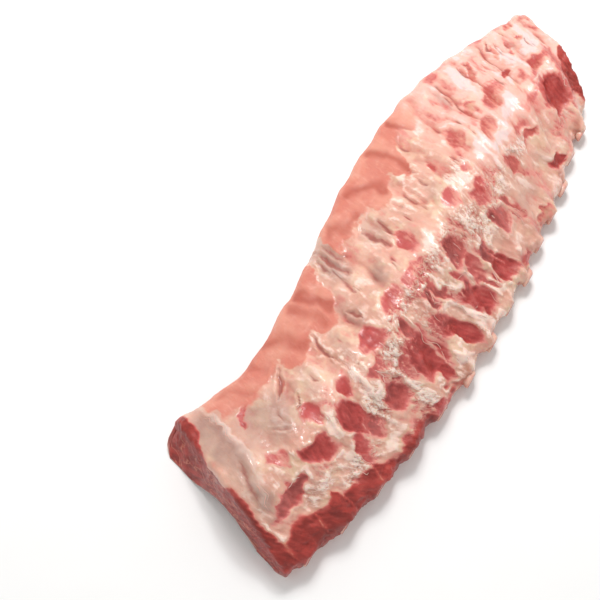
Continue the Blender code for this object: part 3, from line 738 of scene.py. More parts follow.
class Skin:
    """What the flesh looks like at each point of the slab: masks for the shader, and how far the surface is
    lifted, worked out from the same zones and grain so that colour and relief agree."""

    def __init__(self, slab, relief):
        self.grain = grain = Grain(slab)
        zone = Zones(slab, grain)
        lift = relief_in_mm(zone, grain)
        tone = np.where(zone.edge_meat > zone.cover, 0.45 * grain.patch - 0.10, zone.tone)
        # crease: where the material paints shade along the bottoms of folds and finger creases
        crease = np.maximum(1.15 * zone.fold_lines, 0.85 * zone.finger_crease)
        bare_edge = zone.edge_meat * (1 - zone.cover)
        self.lift = lift * relief / 1000
        self.masks = {
            "fat": fat_thickness(zone, grain),
            "tone": 0.5 + 0.5 * np.clip(tone, -1, 1),
            "salmon": zone.salmon * zone.outer,
            "fold": zone.salmon_fold * zone.salmon * zone.outer,
            "grey": zone.grey * zone.outer,
            "crease": crease * (1 - zone.salmon) * (1 - zone.red) * zone.outer,
            # far: where fat and frost turn paler and pinker towards the narrow end, partly painted light
            "far": zone.far * (1 - 0.85 * smooth_step(-0.16, -0.42, zone.across)),
            # Painted shade that darkens the bare meat of the edges and the cut faces, plus a ruddier tone on
            # far windows
            "ruddy": np.maximum.reduce([bare_edge, zone.cut, 0.5 * zone.far * zone.red]),
            "lace": zone.lace * (1 - 0.7 * zone.red) * zone.outer,
            "under": zone.under,
            "hollow": zone.under * (1 - zone.ribbed) * smooth_step(0.95, 0.75, np.abs(zone.across)),
            "cut": zone.cut,
            # height: the relief's height, from which the material paints shade over the lowest places
            "height": np.clip(0.5 + lift / 5, 0, 1),
        }


THIN_STRANDS = (0.12, 0.26)      # radii in mm
FOLD_STRANDS = (0.14, 0.30)
WAVES = np.arange(1, 4)


def sinew_paths(slab, shift, points, rng):
    """Stations of all the sinew strands on the finished surface: (places, outward directions, radii).

    Some run round the rims of the windows, some lie along the fibres between them, and some follow the raised
    folds. Each wanders a little, is thickest at its middle and sinks back into the fat at both ends."""
    t = np.linspace(0, 1, SINEW_STATIONS)
    starts, radii = [], []
    for window in WINDOWS:
        for _ in range(int(5 * window.long + 3 * window.wide) if window.across < 0 else 0):
            turn = rng.uniform(0, 2 * math.pi) + (t - 0.5) * rng.uniform(0.4, 0.9)
            out = rng.uniform(0.98, 1.25)
            across = window.across + window.long * out * np.sin(turn)
            rib = window.rib + window.wide * out * np.cos(turn) - window.lean * (across - window.across)
            starts.append((rib, across))
            radii.append(rng.uniform(*THIN_STRANDS))
    for spot in CRUMPLED:
        for _ in range(int(40 * spot.wide * spot.long * spot.strength) + 1):
            across_0 = max(spot.across + spot.long * rng.uniform(-1, 1), -0.82)
            rib_0 = spot.rib + spot.wide * rng.uniform(-1, 1) - spot.lean * (across_0 - spot.across)
            length = rng.uniform(0.05, 0.16)
            lean = 0.4 + 1.3 * smooth_step(-0.45, -0.65, across_0) + rng.normal(0, 0.35)
            starts.append((rib_0 - lean * length * (t - 0.5), across_0 + length * (t - 0.5)))
            radii.append(rng.uniform(*THIN_STRANDS))
    for _, deep, *stops in CREASES:
        at = np.linspace(0, 1, len(stops))
        for _ in range(4 if deep <= -0.8 else 0):
            part = rng.uniform(0, 0.6) + t * rng.uniform(0.25, 0.5)
            rib, across = (np.interp(part, at, axis) for axis in np.array(stops).T)
            starts.append((rib + rng.normal(0, 0.04), across + rng.normal(0, 0.014)))
            radii.append(rng.uniform(*FOLD_STRANDS))
    rib, across = (np.array(axis) for axis in zip(*starts))
    wander = rng.normal(0, 1, (2, len(rib), len(WAVES), 1)) * np.sin(np.outer(WAVES, t) * math.pi)
    wander = (wander / WAVES[:, None] ** 1.4).sum(axis=2)
    rib, across = rib + 0.020 * wander[0], across + 0.009 * wander[1]
    moved = slab.look_up(shift, rib, np.clip(across, -1, 1))
    rib, across = rib - moved[..., 0], np.clip(across - moved[..., 1], -0.99, 0.99)
    places = slab.look_up(points, rib, across)
    out = slab.look_up(slab.normal, rib, across)
    radius = 0.001 * np.array(radii)[:, None] * (0.25 + 0.75 * np.sin(math.pi * t))
    sink = -0.15 * radius - 0.0007 * np.abs(2 * t - 1) ** 4
    return places + out * sink[..., None], out, radius


def unit(vectors):
    """The same directions with length 1."""
    return vectors / np.maximum(np.linalg.norm(vectors, axis=-1, keepdims=True), 1e-12)


def tube_grid(places, out, radius, sides):
    """Rings round each path of stations, each ring square to its path: (paths, stations, sides, 3)."""
    along = unit(np.gradient(places, axis=1))
    side = unit(np.cross(along, out))
    above = np.cross(side, along)
    turn = np.linspace(0, 2 * math.pi, sides, endpoint=False)
    ring = np.cos(turn)[:, None] * side[..., None, :] + np.sin(turn)[:, None] * above[..., None, :]
    return places[..., None, :] + radius[..., None, None] * ring


def tube_faces(tubes, rings, sides):
    """Faces of so many closed tubes, one after another: quads between rings, and a flat lid on each end."""
    index = np.arange(tubes * rings * sides).reshape(tubes, rings, sides)
    beside = np.roll(index, -1, axis=2)
    walls = np.stack([index[:, :-1], beside[:, :-1], beside[:, 1:], index[:, 1:]], axis=-1)
    lids = index[:, 0, ::-1].tolist() + index[:, -1].tolist()
    return walls.reshape(-1, 4).tolist() + lids


BRIM_ROUNDING = 0.0016
BRIM_STARTS = 0.55              # as a share of the way out from the middle of the sawn face
MARROW_SINK = 0.0005
FACE_STANDS_PROUD = 0.0008
BONE_UNEVENNESS = 0.0003


def bone_end(rib):
    """(s, chine edge, flap edge, y of the sawn face, slant) of a bone."""
    s = place_of_rib(rib)
    chine, flap = edges(s)
    sawn = chine - BONE_STAND_OUT * smooth_step(-0.10, -0.02, s)
    return s, chine, flap, sawn, curve_through(RIB_SLANT, s)


def bone_height(s, n):
    """Height of a bone's middle line."""
    return (top_of(s, n) + under_of(s, n)) / 2 - BONE_DROP


def seat_bones(points):
    """The flesh drawn back to just behind each sawn face, so that the face shows whole, in a collar of fat.
    How far a point is from the bone is measured in its own elliptical section, 1 at its surface. At the wide
    end, where the edge runs at a slant past the faces, more of it is drawn back."""
    x, y, z = np.moveaxis(points + PLAN_MIDDLE, -1, 0)
    for rib in range(RIB_COUNT):
        s, _, _, sawn, slant = bone_end(rib)
        aside = (x - s - slant * y) / (BONE_HALF_WIDTH * math.hypot(1, slant))
        away = np.hypot(aside, (z - bone_height(s, BONE_AT)) / BONE_HALF_HEIGHT)
        more = 0.5 * smooth_step(-0.06, -0.10, s)
        drawn = smooth_step(1.45 + more, 1.05 + more, away)
        y = y + drawn * np.maximum(sawn + FACE_STANDS_PROUD - y, 0)
    return np.stack([x, y, z], axis=-1) - PLAN_MIDDLE


def bone_grid(rib):
    """Rings of one bone, all parallel to its sawn end, and how much of each point is marrow.

    Its middle line runs halfway between the slab's two sides, along the rib. The sawn end has a rounded brim
    and a marrow that sits a little deeper; the other end, inside the flap, is drawn in to a blunt point."""
    s, chine, flap, sawn, slant = bone_end(rib)
    share = np.linspace(0.04, 1, BONE_CAP_RINGS)
    past = np.clip((share - BRIM_STARTS) / (1 - BRIM_STARTS), 0, 1)
    brim = BRIM_ROUNDING * (1 - np.sqrt(1 - past ** 2)) + MARROW_SINK * smooth_step(0.86, 0.70, share)
    shaft = np.linspace(sawn + 1.5 * BRIM_ROUNDING, flap - BONE_STOP_SHORT, BONE_RINGS)
    y = np.concatenate([sawn + brim, shaft])
    shrink = np.concatenate([share, np.sqrt(1 - np.linspace(0, 0.999, BONE_RINGS) ** 14)])
    shrink = shrink * (1 + 0.05 * smooth_step(sawn + 0.020, sawn, y))
    height = bone_height(s, np.clip((2 * y - chine - flap) / (flap - chine), BONE_AT, 1))
    turn = np.linspace(0, 2 * math.pi, BONE_AROUND, endpoint=False)
    x = (s + slant * y)[:, None] + BONE_HALF_WIDTH * math.hypot(1, slant) * np.outer(shrink, np.cos(turn))
    z = height[:, None] + BONE_HALF_HEIGHT * np.outer(shrink, np.sin(turn))
    rings = np.stack(np.broadcast_arrays(x, y[:, None], z), axis=-1)
    uneven = BONE_UNEVENNESS * layered_noise(rings.reshape(-1, 3), 0.004, 40 + rib).reshape(x.shape)
    rings[..., 1] += uneven * (np.arange(len(y)) < BONE_CAP_RINGS)[:, None]
    rings[..., 2] += uneven
    marrow = np.concatenate([smooth_step(0.88, 0.72, share), np.zeros(BONE_RINGS)])
    return rings - PLAN_MIDDLE, marrow[:, None] * np.ones(BONE_AROUND)


def closed_mesh(name, points, faces):
    """A new mesh object from points and faces, smooth-shaded, at the origin."""
    mesh = bpy.data.meshes.new(name)
    mesh.from_pydata(points.reshape(-1, 3).tolist(), [], faces)
    mesh.shade_smooth()
    mesh.update()
    piece = bpy.data.objects.new(name, mesh)
    bpy.context.scene.collection.objects.link(piece)
    return piece


def add_mask(piece, name, values):
    """Stores one number for each point of the piece, which its material reads."""
    layer = piece.data.attributes.new(name, "FLOAT", "POINT")
    layer.data.foreach_set("value", np.ascontiguousarray(values, dtype=np.float32).ravel())


HEIGHT_SHARE = 0.4      # of a point's height is added to the fibre map, so that steep places aren't drawn out


def add_fibre_map(piece, fibre_place):
    """A UV map in metres along and across the fibres, from each point's place in that frame."""
    layer = piece.data.uv_layers.new(name="fibres")
    corners = np.empty(len(piece.data.loops), dtype=np.int32)
    piece.data.loops.foreach_get("vertex_index", corners)
    flat = fibre_place[..., :2] + HEIGHT_SHARE * fibre_place[..., 2:]
    layer.data.foreach_set("uv", flat.reshape(-1, 2)[corners].astype(np.float32).ravel())


def inside_cad_box(points):
    """The points, none of them outside the box of the solids."""
    lowest, highest = (np.array(corner) for corner in CAD_BOX)
    return np.clip(points, lowest + BOX_MARGIN, highest - BOX_MARGIN)


# ---------------------------------------------------------------- materials

class Wire:
    """A number or colour socket of a material. Python's operators on it add Math nodes."""

    def __init__(self, bench, socket):
        self.bench = bench
        self.socket = socket

    def math(self, operation, *others):
        """A Math node's operation on this socket and others."""
        return self.bench.add("ShaderNodeMath", {"operation": operation}, dict(enumerate((self, *others))))

    def __add__(self, other):
        return self.math("ADD", other)

    def __sub__(self, other):
        return self.math("SUBTRACT", other)

    def __mul__(self, other):
        return self.math("MULTIPLY", other)

    def __rsub__(self, other):
        return self.bench.add("ShaderNodeMath", {"operation": "SUBTRACT"}, {0: other, 1: self})

    __radd__ = __add__
    __rmul__ = __mul__

    def above(self, low, high):
        """0 below low and 1 above high, with an even curve between."""
        values = {"Value": self, "From Min": low, "From Max": high}
        return self.bench.add("ShaderNodeMapRange", {"interpolation_type": "SMOOTHSTEP"}, values)

    def line(self, sharpness):
        """1 along the thin winding line where a noise crosses its middle, falling evenly to 0 beside it."""
        return (1 - (self - 0.5).math("ABSOLUTE") * sharpness).above(0.0, 1.0)


class Bench:
    """Makes one material: add() puts in a node, and the rest are short names for the nodes used most."""

    def __init__(self, name):
        self.material = bpy.data.materials.new(name)
        self.material.use_nodes = True
        self.tree = self.material.node_tree
        self.shader = self.tree.nodes["Principled BSDF"]

    def add(self, kind, settings=None, values=None, output=0):
        """Adds a node of a kind, first its settings, then the values or wires of its sockets."""
        node = self.tree.nodes.new(kind)
        for key, value in (settings or {}).items():
            setattr(node, key, value)
        for key, value in (values or {}).items():
            self.feed(node.inputs[key], value)
        return Wire(self, node.outputs[output])

    def feed(self, socket, value):
        """Links a wire to a socket, or sets the socket's own number or colour."""
        if isinstance(value, Wire):
            self.tree.links.new(value.socket, socket)
        elif socket.type == "RGBA":
            socket.default_value = (*tuple(value)[:3], 1)
        else:
            socket.default_value = value

    def set(self, **values):
        """Sets the shader's sockets, named with _ for each space."""
        for key, value in values.items():
            self.feed(self.shader.inputs[key.replace("_", " ")], value)

    def mask(self, name):
        """A number that is stored at each point of the piece."""
        return self.add("ShaderNodeAttribute", {"attribute_name": name}, output="Fac")

    def place(self):
        """Object coordinates."""
        return self.add("ShaderNodeTexCoord", output="Object")

    def stretched(self, place, stretch):
        """A place with each axis scaled."""
        return self.add("ShaderNodeMapping", {"vector_type": "POINT"}, {"Vector": place, "Scale": stretch})

    def noise(self, place, scale, detail=3.0, roughness=0.5, distortion=0.0):
        """Noise in space, mostly between 0.3 and 0.7, with so many lumps a metre."""
        values = {"Vector": place, "Scale": scale, "Detail": detail, "Roughness": roughness,
                  "Distortion": distortion}
        return self.add("ShaderNodeTexNoise", {"noise_dimensions": "3D"}, values)

    def layers(self, colour, *coats, mode="MIX"):
        """A colour with others laid over it in turn. Each coat is how much of it shows, then its colour."""
        for share, coat in coats:
            settings = {"data_type": "RGBA", "blend_type": mode, "clamp_factor": True}
            colour = self.add("ShaderNodeMix", settings, {0: share, 6: colour, 7: coat}, output=2)
        return colour

    def bump(self, height, strength, distance):
        """The surface's direction as a height makes it look, a height of 1 being so many metres."""
        values = {"Height": height, "Strength": strength, "Distance": distance}
        return self.add("ShaderNodeBump", None, values)


def srgb(red, green, blue):
    """A colour given as 0..255 screen values, as the linear numbers that a shader takes."""
    screen = np.array((red, green, blue)) / 255
    linear = np.where(screen <= 0.04045, screen / 12.92, ((screen + 0.055) / 1.055) ** 2.4)
    return tuple(float(value) for value in linear)


def meat_colour(bench, looks, fat, tone):
    """Bare meat, from mauve through red to rose, lighter and pinker where there is more fat over it."""
    mauve, rosy = tone.above(0.50, 0.15), tone.above(0.55, 0.95)
    dark = bench.layers(looks.meat_deep, (mauve, looks.mauve_deep), (rosy, looks.meat))
    lean = bench.layers(looks.meat, (mauve, looks.mauve), (rosy, looks.rose))
    return bench.layers(dark, (fat.above(-0.06, 0.30), lean), (fat.above(0.22, 0.42), looks.thin_red),
                        (fat.above(0.38, 0.58), looks.thin_pink))


class Patterns:
    """The noises that the colours of the flesh share. Three of them are drawn out along the fibres."""

    def __init__(self, bench):
        self.here = here = bench.place()
        along = bench.add("ShaderNodeUVMap", {"uv_map": "fibres"})
        self.cloud = bench.noise(here, 42.0, 3.0, 0.55)
        self.tint = bench.noise(here, 58.0, 3.0, 0.6)
        self.mottle = bench.noise(here, 170.0, 3.0, 0.6)
        self.grain = bench.noise(here, 700.0, 3.0, 0.6)
        self.speck = bench.noise(here, 520.0, 2.0, 0.5, 0.6)
        self.strand = bench.noise(bench.stretched(along, (1.0, 0.28, 1.0)), 420.0, 4.0, 0.62, 0.5)
        self.fibre = bench.noise(bench.stretched(along, (1.0, 0.16, 1.0)), 760.0, 3.0, 0.6, 0.3)
        self.web = bench.noise(bench.stretched(along, (1.0, 0.55, 1.0)), 330.0, 4.0, 0.6, 1.2)
        self.seam = bench.noise(bench.stretched(here, (1.0, 1.0, 1.8)), 55.0, 3.0, 0.5, 0.6)


def fat_colours(bench, looks, noise, far, lace):
    """(cream, frost): pale fat in tan, buttery and rosy patches, and where it is whitest. Towards the narrow
    end both are paler and pinker, partly as painted light, and the frost there colours painted highlights
    too.
    """
    cream = bench.layers(
        looks.fat_tan,
        (noise.cloud.above(0.38, 0.64), looks.fat_cream),
        (far * 0.75, looks.fat_far),
        (noise.tint.above(0.50, 0.66) * (0.75 - 0.45 * far) * (1 - 0.7 * lace), looks.fat_butter),
        (noise.tint.above(0.46, 0.34) * 0.55, looks.fat_blush))
    return cream, bench.layers(looks.fat_white, (far, looks.frost_and_highlight_far))


def skin_colours(bench, looks, noise):
    """(grey skin, salmon skin): each cloudy, and the salmon one flecked with fat and darker in its folds, as
    painted shade.
    """
    grey = bench.layers(looks.fascia_deep, (noise.cloud.above(0.36, 0.66), looks.fascia))
    salmon = bench.layers(
        looks.salmon_deep,
        (noise.cloud.above(0.40, 0.62), looks.salmon),
        (noise.strand.above(0.50, 0.75) * 0.30, looks.fat_pink),
        (noise.mottle.above(0.58, 0.75) * 0.30, looks.fat_pink),
        (bench.mask("fold") * 0.95, looks.salmon_fold))
    return grey, salmon


def cut_colour(bench, looks, noise):
    """A cut face: dark and brighter bundles of fibres, flecked and seamed with fat. Its dark base is partly
    painted shade.
    """
    return bench.layers(
        looks.meat_deep,
        (noise.fibre.above(0.36, 0.66), looks.meat),
        (noise.cloud.above(0.50, 0.66) * 0.6, looks.meat_deep),
        (noise.mottle.above(0.62, 0.74) * 0.6, looks.fat_pink),
        (noise.seam.line(34) * 0.55, looks.fat_pink))


def membrane_colour(bench, looks, noise):
    """The inner side: pale where it is tight over the ribs, and redder where it is sunk between them."""
    cloud, mottle = noise.cloud, noise.mottle
    hollow = (bench.mask("hollow") * (0.55 + 0.9 * cloud) + (mottle - 0.5) * 0.7).above(0.45, 1.05)
    return bench.layers(
        looks.membrane,
        (noise.strand.above(0.36, 0.66), looks.membrane_pale),
        (hollow * 0.75, looks.membrane_hollow),
        (mottle.above(0.60, 0.72) * hollow * 0.6, looks.meat),
        (cloud.above(0.58, 0.70) * 0.6, looks.fat_cream))


def flesh_material(looks):
    """Wet raw pork. The thickness of the fat picks the colour, from bare meat through thin pink fat to
    frosty white; the salmon skin, the grey skin and the membrane of the inner side lie over it. Noise drawn
    out along the fibres breaks up every edge."""
    bench = Bench("raw_pork")
    noise = Patterns(bench)
    strand, mottle, grain = noise.strand, noise.mottle, noise.grain
    far, lace, dull = bench.mask("far"), bench.mask("lace"), bench.mask("salmon")
    thread = noise.web.line(9) * lace
    gap = noise.web.above(0.60, 0.74) * lace
    fat = bench.mask("fat") + (strand - 0.5) * 0.28 + (mottle - 0.5) * 0.26 + (grain - 0.5) * 0.14
    fat = fat + thread * 0.38 - gap * 0.50

    cream, frost = fat_colours(bench, looks, noise, far, lace)
    grey_skin, salmon_coat = skin_colours(bench, looks, noise)
    cut_meat = cut_colour(bench, looks, noise)
    membrane = membrane_colour(bench, looks, noise)
    salmon = (dull + (mottle - 0.5) * 0.5 + (strand - 0.5) * 0.5).above(0.15, 0.85)
    crease = (bench.mask("crease") + (grain - 0.5) * 0.4).above(0.35, 0.95)
    flesh = bench.layers(
        meat_colour(bench, looks, fat, bench.mask("tone")),
        (fat.above(0.52, 0.78), cream),
        (fat.above(0.86, 1.12), frost),
        (bench.mask("grey") * fat.above(0.40, 0.60) * 0.85, grey_skin),
        (salmon * 0.92, salmon_coat),
        # Painted shade along the bottoms of folds and creases
        (crease * 0.80, looks.crease),
        (noise.speck.above(0.70, 0.78) * fat.above(0.50, 0.70) * 0.45, looks.thin_red),
        (bench.mask("cut") * 0.95, cut_meat))
    # Painted shade multiplied over the bare edge meat and the cut faces
    flesh = bench.layers(flesh, (bench.mask("ruddy") * 0.8, looks.ruddy), mode="MULTIPLY")
    flesh = bench.layers(flesh, (bench.mask("under"), membrane))
    # Painted shade: the lowest places of the relief are multiplied by a warm shade tint
    flesh = bench.layers(flesh, (bench.mask("height").above(0.56, 0.16) * 0.60, looks.shade), mode="MULTIPLY")
    # Painted highlight: a glint colour over the threads of wet, crumpled fat
    flesh = bench.layers(flesh, (thread * fat.above(0.70, 1.0) * 0.55, looks.glint))

    wet = bench.noise(noise.here, 90.0, 2.0, 0.5)
    rough = 0.24 + 0.22 * wet + 0.12 * grain + 0.18 * dull - 0.06 * lace
    pits = bench.noise(noise.here, 330.0, 3.0, 0.62)
    height = 0.55 * strand + 0.35 * grain + 0.5 * pits + 0.8 * (thread - gap)
    coat = (0.30 + 0.5 * wet.above(0.35, 0.65)) * (1 - 0.85 * dull) * (0.45 + 0.55 * fat.above(0.25, 0.60))
    bench.set(Base_Color=flesh, Roughness=rough, Normal=bench.bump(height, 0.6, 0.0009))
    bench.set(Coat_Weight=coat * (1 - 0.35 * far), Coat_Roughness=0.10, Coat_IOR=1.40, IOR=1.40)
    bench.set(Subsurface_Weight=0.40, Subsurface_Scale=0.003, Subsurface_Radius=(1.0, 0.40, 0.26))
    return bench.material


def bone_material(looks):
    """Sawn rib bone: a pale, faintly scored rim round a porous pink-red marrow."""
    bench = Bench("sawn_bone")
    here = bench.place()
    pores = bench.add("ShaderNodeTexVoronoi", {"feature": "F1"}, {"Vector": here, "Scale": 900.0})
    mottle = bench.noise(here, 260.0, 3.0, 0.6)
    marrow = bench.layers(looks.marrow_deep, (pores.above(0.25, 0.6), looks.marrow))
    inner = (bench.mask("marrow") + (mottle - 0.5) * 0.5).above(0.35, 0.65)
    colour = bench.layers(looks.bone, (mottle.above(0.35, 0.7), looks.bone_pink), (inner, marrow))
    bench.set(Base_Color=colour, Roughness=0.35 + 0.2 * mottle, Normal=bench.bump(pores * inner, 0.5, 0.0005))
    bench.set(Coat_Weight=0.5, Coat_Roughness=0.15)
    bench.set(Subsurface_Weight=0.2, Subsurface_Scale=0.003, Subsurface_Radius=(1.0, 0.45, 0.3))
    return bench.material


def sinew_material(looks):
    """Sinew and threads of fat: from pinkish to white, and the wettest thing on the rack."""
    bench = Bench("sinew")
    mottle = bench.noise(bench.place(), 400.0, 2.0, 0.5)
    colour = bench.layers(looks.fat_pink, (bench.mask("white").above(0.3, 1.2), looks.fat_white),
                          (mottle.above(0.45, 0.7) * 0.5, looks.fat_cream))
    bench.set(Base_Color=colour, Roughness=0.28, Coat_Weight=0.8, Coat_Roughness=0.10)
    bench.set(Subsurface_Weight=0.3, Subsurface_Scale=0.002, Subsurface_Radius=(1.0, 0.5, 0.35))
    return bench.material


def floor_material():
    """Pale paper, hardly uneven."""
    bench = Bench("pale_floor")
    paper = bench.noise(bench.place(), 30.0, 2.0, 0.5)
    bench.set(Base_Color=bench.layers((0.90, 0.90, 0.89), (paper, (0.92, 0.92, 0.915))), Roughness=0.6)
    return bench.material


# ---------------------------------------------------------------- settings that a user would change

def colour_setting(name, red, green, blue, description):
    """A colour, with its default as 0..255 screen values."""
    return bpy.props.FloatVectorProperty(name=name, description=description, subtype="COLOR", size=3, min=0,
                                         max=1, default=srgb(red, green, blue))


def number_setting(name, default, description, **more):
    """A number, with what more it needs: its limits, subtype or unit."""
    return bpy.props.FloatProperty(name=name, default=default, description=description, **more)


class RackLooks(bpy.types.PropertyGroup):
    """Colours of the flesh and bones, and how strong the relief is."""
    fat_cream: colour_setting("Fat", 228, 180, 160, "Pale fat over most of the outer side")
    fat_tan: colour_setting("Tan fat", 214, 162, 142, "Thinner fat, where the rib shows through")
    fat_butter: colour_setting("Yellower fat", 230, 198, 168, "Fat with a buttery tint")
    fat_blush: colour_setting("Blushing fat", 230, 170, 152, "Fat with a rosy tint")
    # Partly painted light: the fat is paler towards the narrow end, which the light falls on more
    fat_far: colour_setting("Far fat", 236, 187, 174, "Paler, pinker fat towards the narrow end")
    fat_pink: colour_setting("Pink fat", 232, 168, 152, "Fat with blood in it")
    fat_white: colour_setting("Frost", 247, 216, 201, "The whitest fat and sinew")
    # Partly painted highlight: the colour of the white washes along the ridge towards the narrow end
    frost_and_highlight_far: colour_setting("Far frost", 228, 202, 197, "The same towards the narrow end, cooler")
    fascia: colour_setting("Grey skin", 194, 158, 142, "Greyish, see-through skin")
    fascia_deep: colour_setting("Grey skin, deep", 168, 130, 119, "The same skin where it is thicker")
    thin_pink: colour_setting("Pink cover", 226, 150, 138, "Meat seen through thin fat")
    thin_red: colour_setting("Red cover", 204, 106, 100, "Meat seen through a film of fat")
    salmon: colour_setting("Salmon skin", 216, 142, 122, "Thin skin along the flap edge")
    salmon_deep: colour_setting("Salmon, deep", 206, 119, 101, "The same skin where it is thicker")
    # Painted shade in the folds of the salmon skin
    salmon_fold: colour_setting("Salmon, folded", 182, 86, 68, "The folds of that skin")
    # Painted shade at the bottom of folds and creases
    crease: colour_setting("Creases", 170, 102, 90, "The bottom of folds")
    meat: colour_setting("Meat", 196, 84, 81, "Red meat in the windows")
    meat_deep: colour_setting("Meat, deep", 154, 54, 49, "The darkest red meat")
    mauve: colour_setting("Mauve meat", 184, 98, 93, "Older, brownish meat")
    mauve_deep: colour_setting("Mauve, deep", 152, 70, 66, "The darkest of it")
    rose: colour_setting("Rose meat", 212, 106, 106, "Bright pink meat")
    membrane: colour_setting("Membrane", 230, 184, 174, "Skin over the inner side")
    membrane_pale: colour_setting("Membrane, pale", 242, 208, 198, "The same, tight over bone")
    membrane_hollow: colour_setting("Membrane, hollow", 186, 120, 114, "The same, sunk between ribs")
    # Painted highlight laid over the lace threads
    glint: colour_setting("Glint", 255, 240, 228, "The brightest threads of wet, crumpled fat")
    # Painted shade: the tint multiplied over the lowest places of the relief
    shade: colour_setting("Shade", 214, 160, 148, "Tint of the lowest places")
    # Painted shade over the bare edge meat and cut faces, and a ruddier tone on the far windows
    ruddy: colour_setting("Ruddy", 226, 186, 160, "Tint of the outermost and cut meat")
    bone: colour_setting("Bone", 226, 184, 164, "Rim of a sawn bone")
    bone_pink: colour_setting("Bone, pink", 222, 150, 134, "Blood-stained rim")
    marrow: colour_setting("Marrow", 206, 96, 84, "Marrow of a sawn bone")
    marrow_deep: colour_setting("Marrow, deep", 150, 50, 46, "Pores of the marrow")
    relief: number_setting("Relief", 1.0, "Strength of the fine relief", min=0, max=2)


class StageSettings(bpy.types.PropertyGroup):
    """The camera's place and the strength of the lights."""
    azimuth: number_setting("Azimuth", math.radians(-58.8), "0 looks along +Y, 90 along -X", subtype="ANGLE")
    elevation: number_setting("Elevation", math.radians(62), "Angle of the view above level", subtype="ANGLE")
    distance: number_setting("Distance", 0.646, "From the rack's middle to the camera's plane", unit="LENGTH")
    aside: number_setting("Aside", 0.0806, "How far left of the rack the camera stands", unit="LENGTH")
    below: number_setting("Below", 0.0399, "How far below the rack's middle the camera aims", unit="LENGTH")
    view_angle: number_setting("View angle", math.radians(34), "Width of the camera's view", subtype="ANGLE")
    key_power: number_setting("Key light", 6.1, "Power of the main light", unit="POWER")
    glint_power: number_setting("Glint light", 1.6, "Power of the small light that the wet flesh mirrors",
                                unit="POWER")
    sky: number_setting("Surroundings", 0.66, "Brightness of the white surroundings")


# ---------------------------------------------------------------- operators

MADE = {}      # the flesh's grid, which the sinew follows
SINEW_SEED = 7
FLOOR_SIZE = 8
AIM = Vector((0, 0, 0.025))
SENSOR_WIDTH = 36
SKY_COLOUR = (1, 0.99, 0.98, 1)
KEY_LIGHT = (0.37, 0.35, 0.90)
KEY_WIDTH = 0.45
GLINT_LIGHT = (0.40, 0.24, 0.88)
GLINT_WIDTH = 0.12


class RIBS_OT_flesh(bpy.types.Operator):
    """Makes the flesh, with its fat, windows of red meat, membrane and cut faces"""
    bl_idname = "ribs.flesh"
    bl_label = "Flesh"

    def execute(self, context):
        looks = context.scene.rack_looks
        slab = Slab()
        skin = Skin(slab, looks.relief)
        points = slab.base + slab.normal * skin.lift[..., None]
        points[..., 2] = np.maximum(points[..., 2], 0)
        points = inside_cad_box(seat_bones(points))
        piece = closed_mesh("raw_flesh", points, slab.faces())
        for name, values in skin.masks.items():
            add_mask(piece, name, values)
        add_fibre_map(piece, skin.grain.place)
        piece.data.materials.append(flesh_material(looks))
        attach(piece, "root")
        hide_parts("flesh")
        MADE.update(slab=slab, shift=skin.grain.shift, points=points)
        return {"FINISHED"}


class RIBS_OT_sinew(bpy.types.Operator):
    """Lays white strands of sinew over the fat and round the windows"""
    bl_idname = "ribs.sinew"
    bl_label = "Sinew"

    def execute(self, context):
        if not MADE:
            raise RuntimeError("the flesh has to be made first")
        rng = np.random.default_rng(SINEW_SEED)
        places, out, radius = sinew_paths(**MADE, rng=rng)
        rings = inside_cad_box(tube_grid(places, out, radius, SINEW_SIDES))
        piece = closed_mesh("sinew", rings, tube_faces(len(places), SINEW_STATIONS, SINEW_SIDES))
        white = rng.uniform(0, 1, len(places))[:, None, None] * np.ones(rings.shape[:3])
        add_mask(piece, "white", white)
        piece.data.materials.append(sinew_material(context.scene.rack_looks))
        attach(piece, "root")
        return {"FINISHED"}


class RIBS_OT_bones(bpy.types.Operator):
    """Makes the fourteen rib bones, each with its sawn end"""
    bl_idname = "ribs.bones"
    bl_label = "Bones"

    def execute(self, context):
        looks = bone_material(context.scene.rack_looks)
        for rib in range(RIB_COUNT):
            rings, marrow = bone_grid(rib)
            faces = tube_faces(1, len(rings), BONE_AROUND)
            piece = closed_mesh(f"bone_{rib + 1:02d}", inside_cad_box(rings), faces)
            add_mask(piece, "marrow", marrow)
            piece.data.materials.append(looks)
            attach(piece, "root")
            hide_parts(f"rib_bone_{rib + 1:02d}")
        return {"FINISHED"}


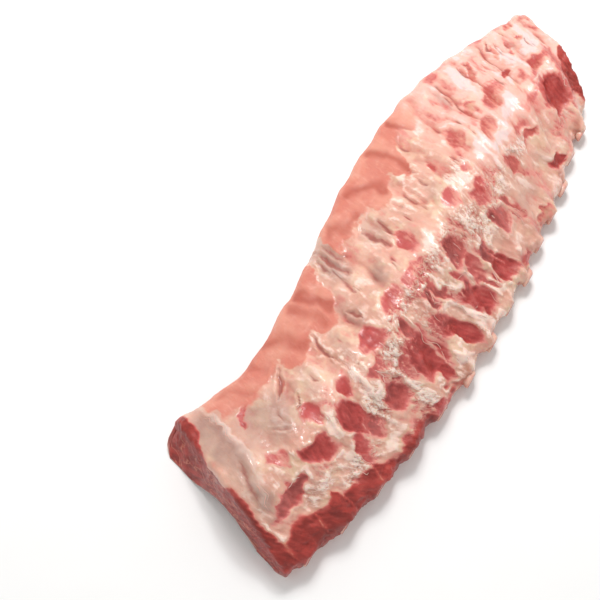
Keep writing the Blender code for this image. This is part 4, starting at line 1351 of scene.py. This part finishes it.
class RIBS_OT_stage(bpy.types.Operator):
    """Sets the floor, the lights and the camera"""
    bl_idname = "ribs.stage"
    bl_label = "Stage"

    def execute(self, context):
        scene = context.scene
        settings = scene.rack_stage
        bpy.ops.mesh.primitive_plane_add(size=FLOOR_SIZE)
        floor = context.object
        floor.name = "floor"
        floor.data.materials.append(floor_material())

        world = bpy.data.worlds.new("white_surroundings")
        world.use_nodes = True
        sky = world.node_tree.nodes["Background"].inputs
        sky["Color"].default_value = SKY_COLOUR
        sky["Strength"].default_value = settings.sky
        scene.world = world
        scene.view_settings.view_transform = "Standard"

        self.lamp("key_light", KEY_LIGHT, KEY_WIDTH, settings.key_power)
        self.lamp("glint_light", GLINT_LIGHT, GLINT_WIDTH, settings.glint_power)

        a, e = settings.azimuth, settings.elevation
        back = Vector((math.sin(a) * math.cos(e), -math.cos(a) * math.cos(e), math.sin(e)))
        right = Vector((math.cos(a), math.sin(a), 0))
        up = back.cross(right)
        lens = bpy.data.cameras.new("camera")
        lens.sensor_width = SENSOR_WIDTH
        lens.angle = settings.view_angle
        camera = bpy.data.objects.new("camera", lens)
        camera.location = AIM + back * settings.distance - right * settings.aside - up * settings.below
        camera.rotation_euler = Matrix((right, up, back)).transposed().to_euler()
        scene.collection.objects.link(camera)
        scene.camera = camera
        return {"FINISHED"}

    @staticmethod
    def lamp(name, place, size, power):
        """A round light that faces the origin."""
        data = bpy.data.lights.new(name, "AREA")
        data.shape = "DISK"
        data.size = size
        data.energy = power
        light = bpy.data.objects.new(name, data)
        light.location = place
        light.rotation_euler = (-Vector(place)).to_track_quat("-Z", "Y").to_euler()
        bpy.context.scene.collection.objects.link(light)


class RIBS_PT_panel(bpy.types.Panel):
    """Lists the rack's pieces"""
    bl_label = "Rack of ribs"
    bl_idname = "RIBS_PT_panel"
    bl_space_type = "VIEW_3D"
    bl_region_type = "UI"
    bl_category = "Ribs"

    def draw(self, context):
        for piece in PIECES:
            self.layout.operator(piece.bl_idname)
        for name in RackLooks.__annotations__:
            self.layout.prop(context.scene.rack_looks, name)
        for name in StageSettings.__annotations__:
            self.layout.prop(context.scene.rack_stage, name)


PIECES = (RIBS_OT_flesh, RIBS_OT_sinew, RIBS_OT_bones, RIBS_OT_stage)
CLASSES = (RackLooks, StageSettings, *PIECES, RIBS_PT_panel)


def register():
    for item in CLASSES:
        bpy.utils.register_class(item)
    bpy.types.Scene.rack_looks = bpy.props.PointerProperty(type=RackLooks)
    bpy.types.Scene.rack_stage = bpy.props.PointerProperty(type=StageSettings)


def unregister():
    del bpy.types.Scene.rack_looks
    del bpy.types.Scene.rack_stage
    for item in reversed(CLASSES):
        bpy.utils.unregister_class(item)


def main():
    register()
    bpy.ops.ribs.flesh()
    bpy.ops.ribs.sinew()
    bpy.ops.ribs.bones()
    bpy.ops.ribs.stage()


if __name__ == "__main__":
    main()
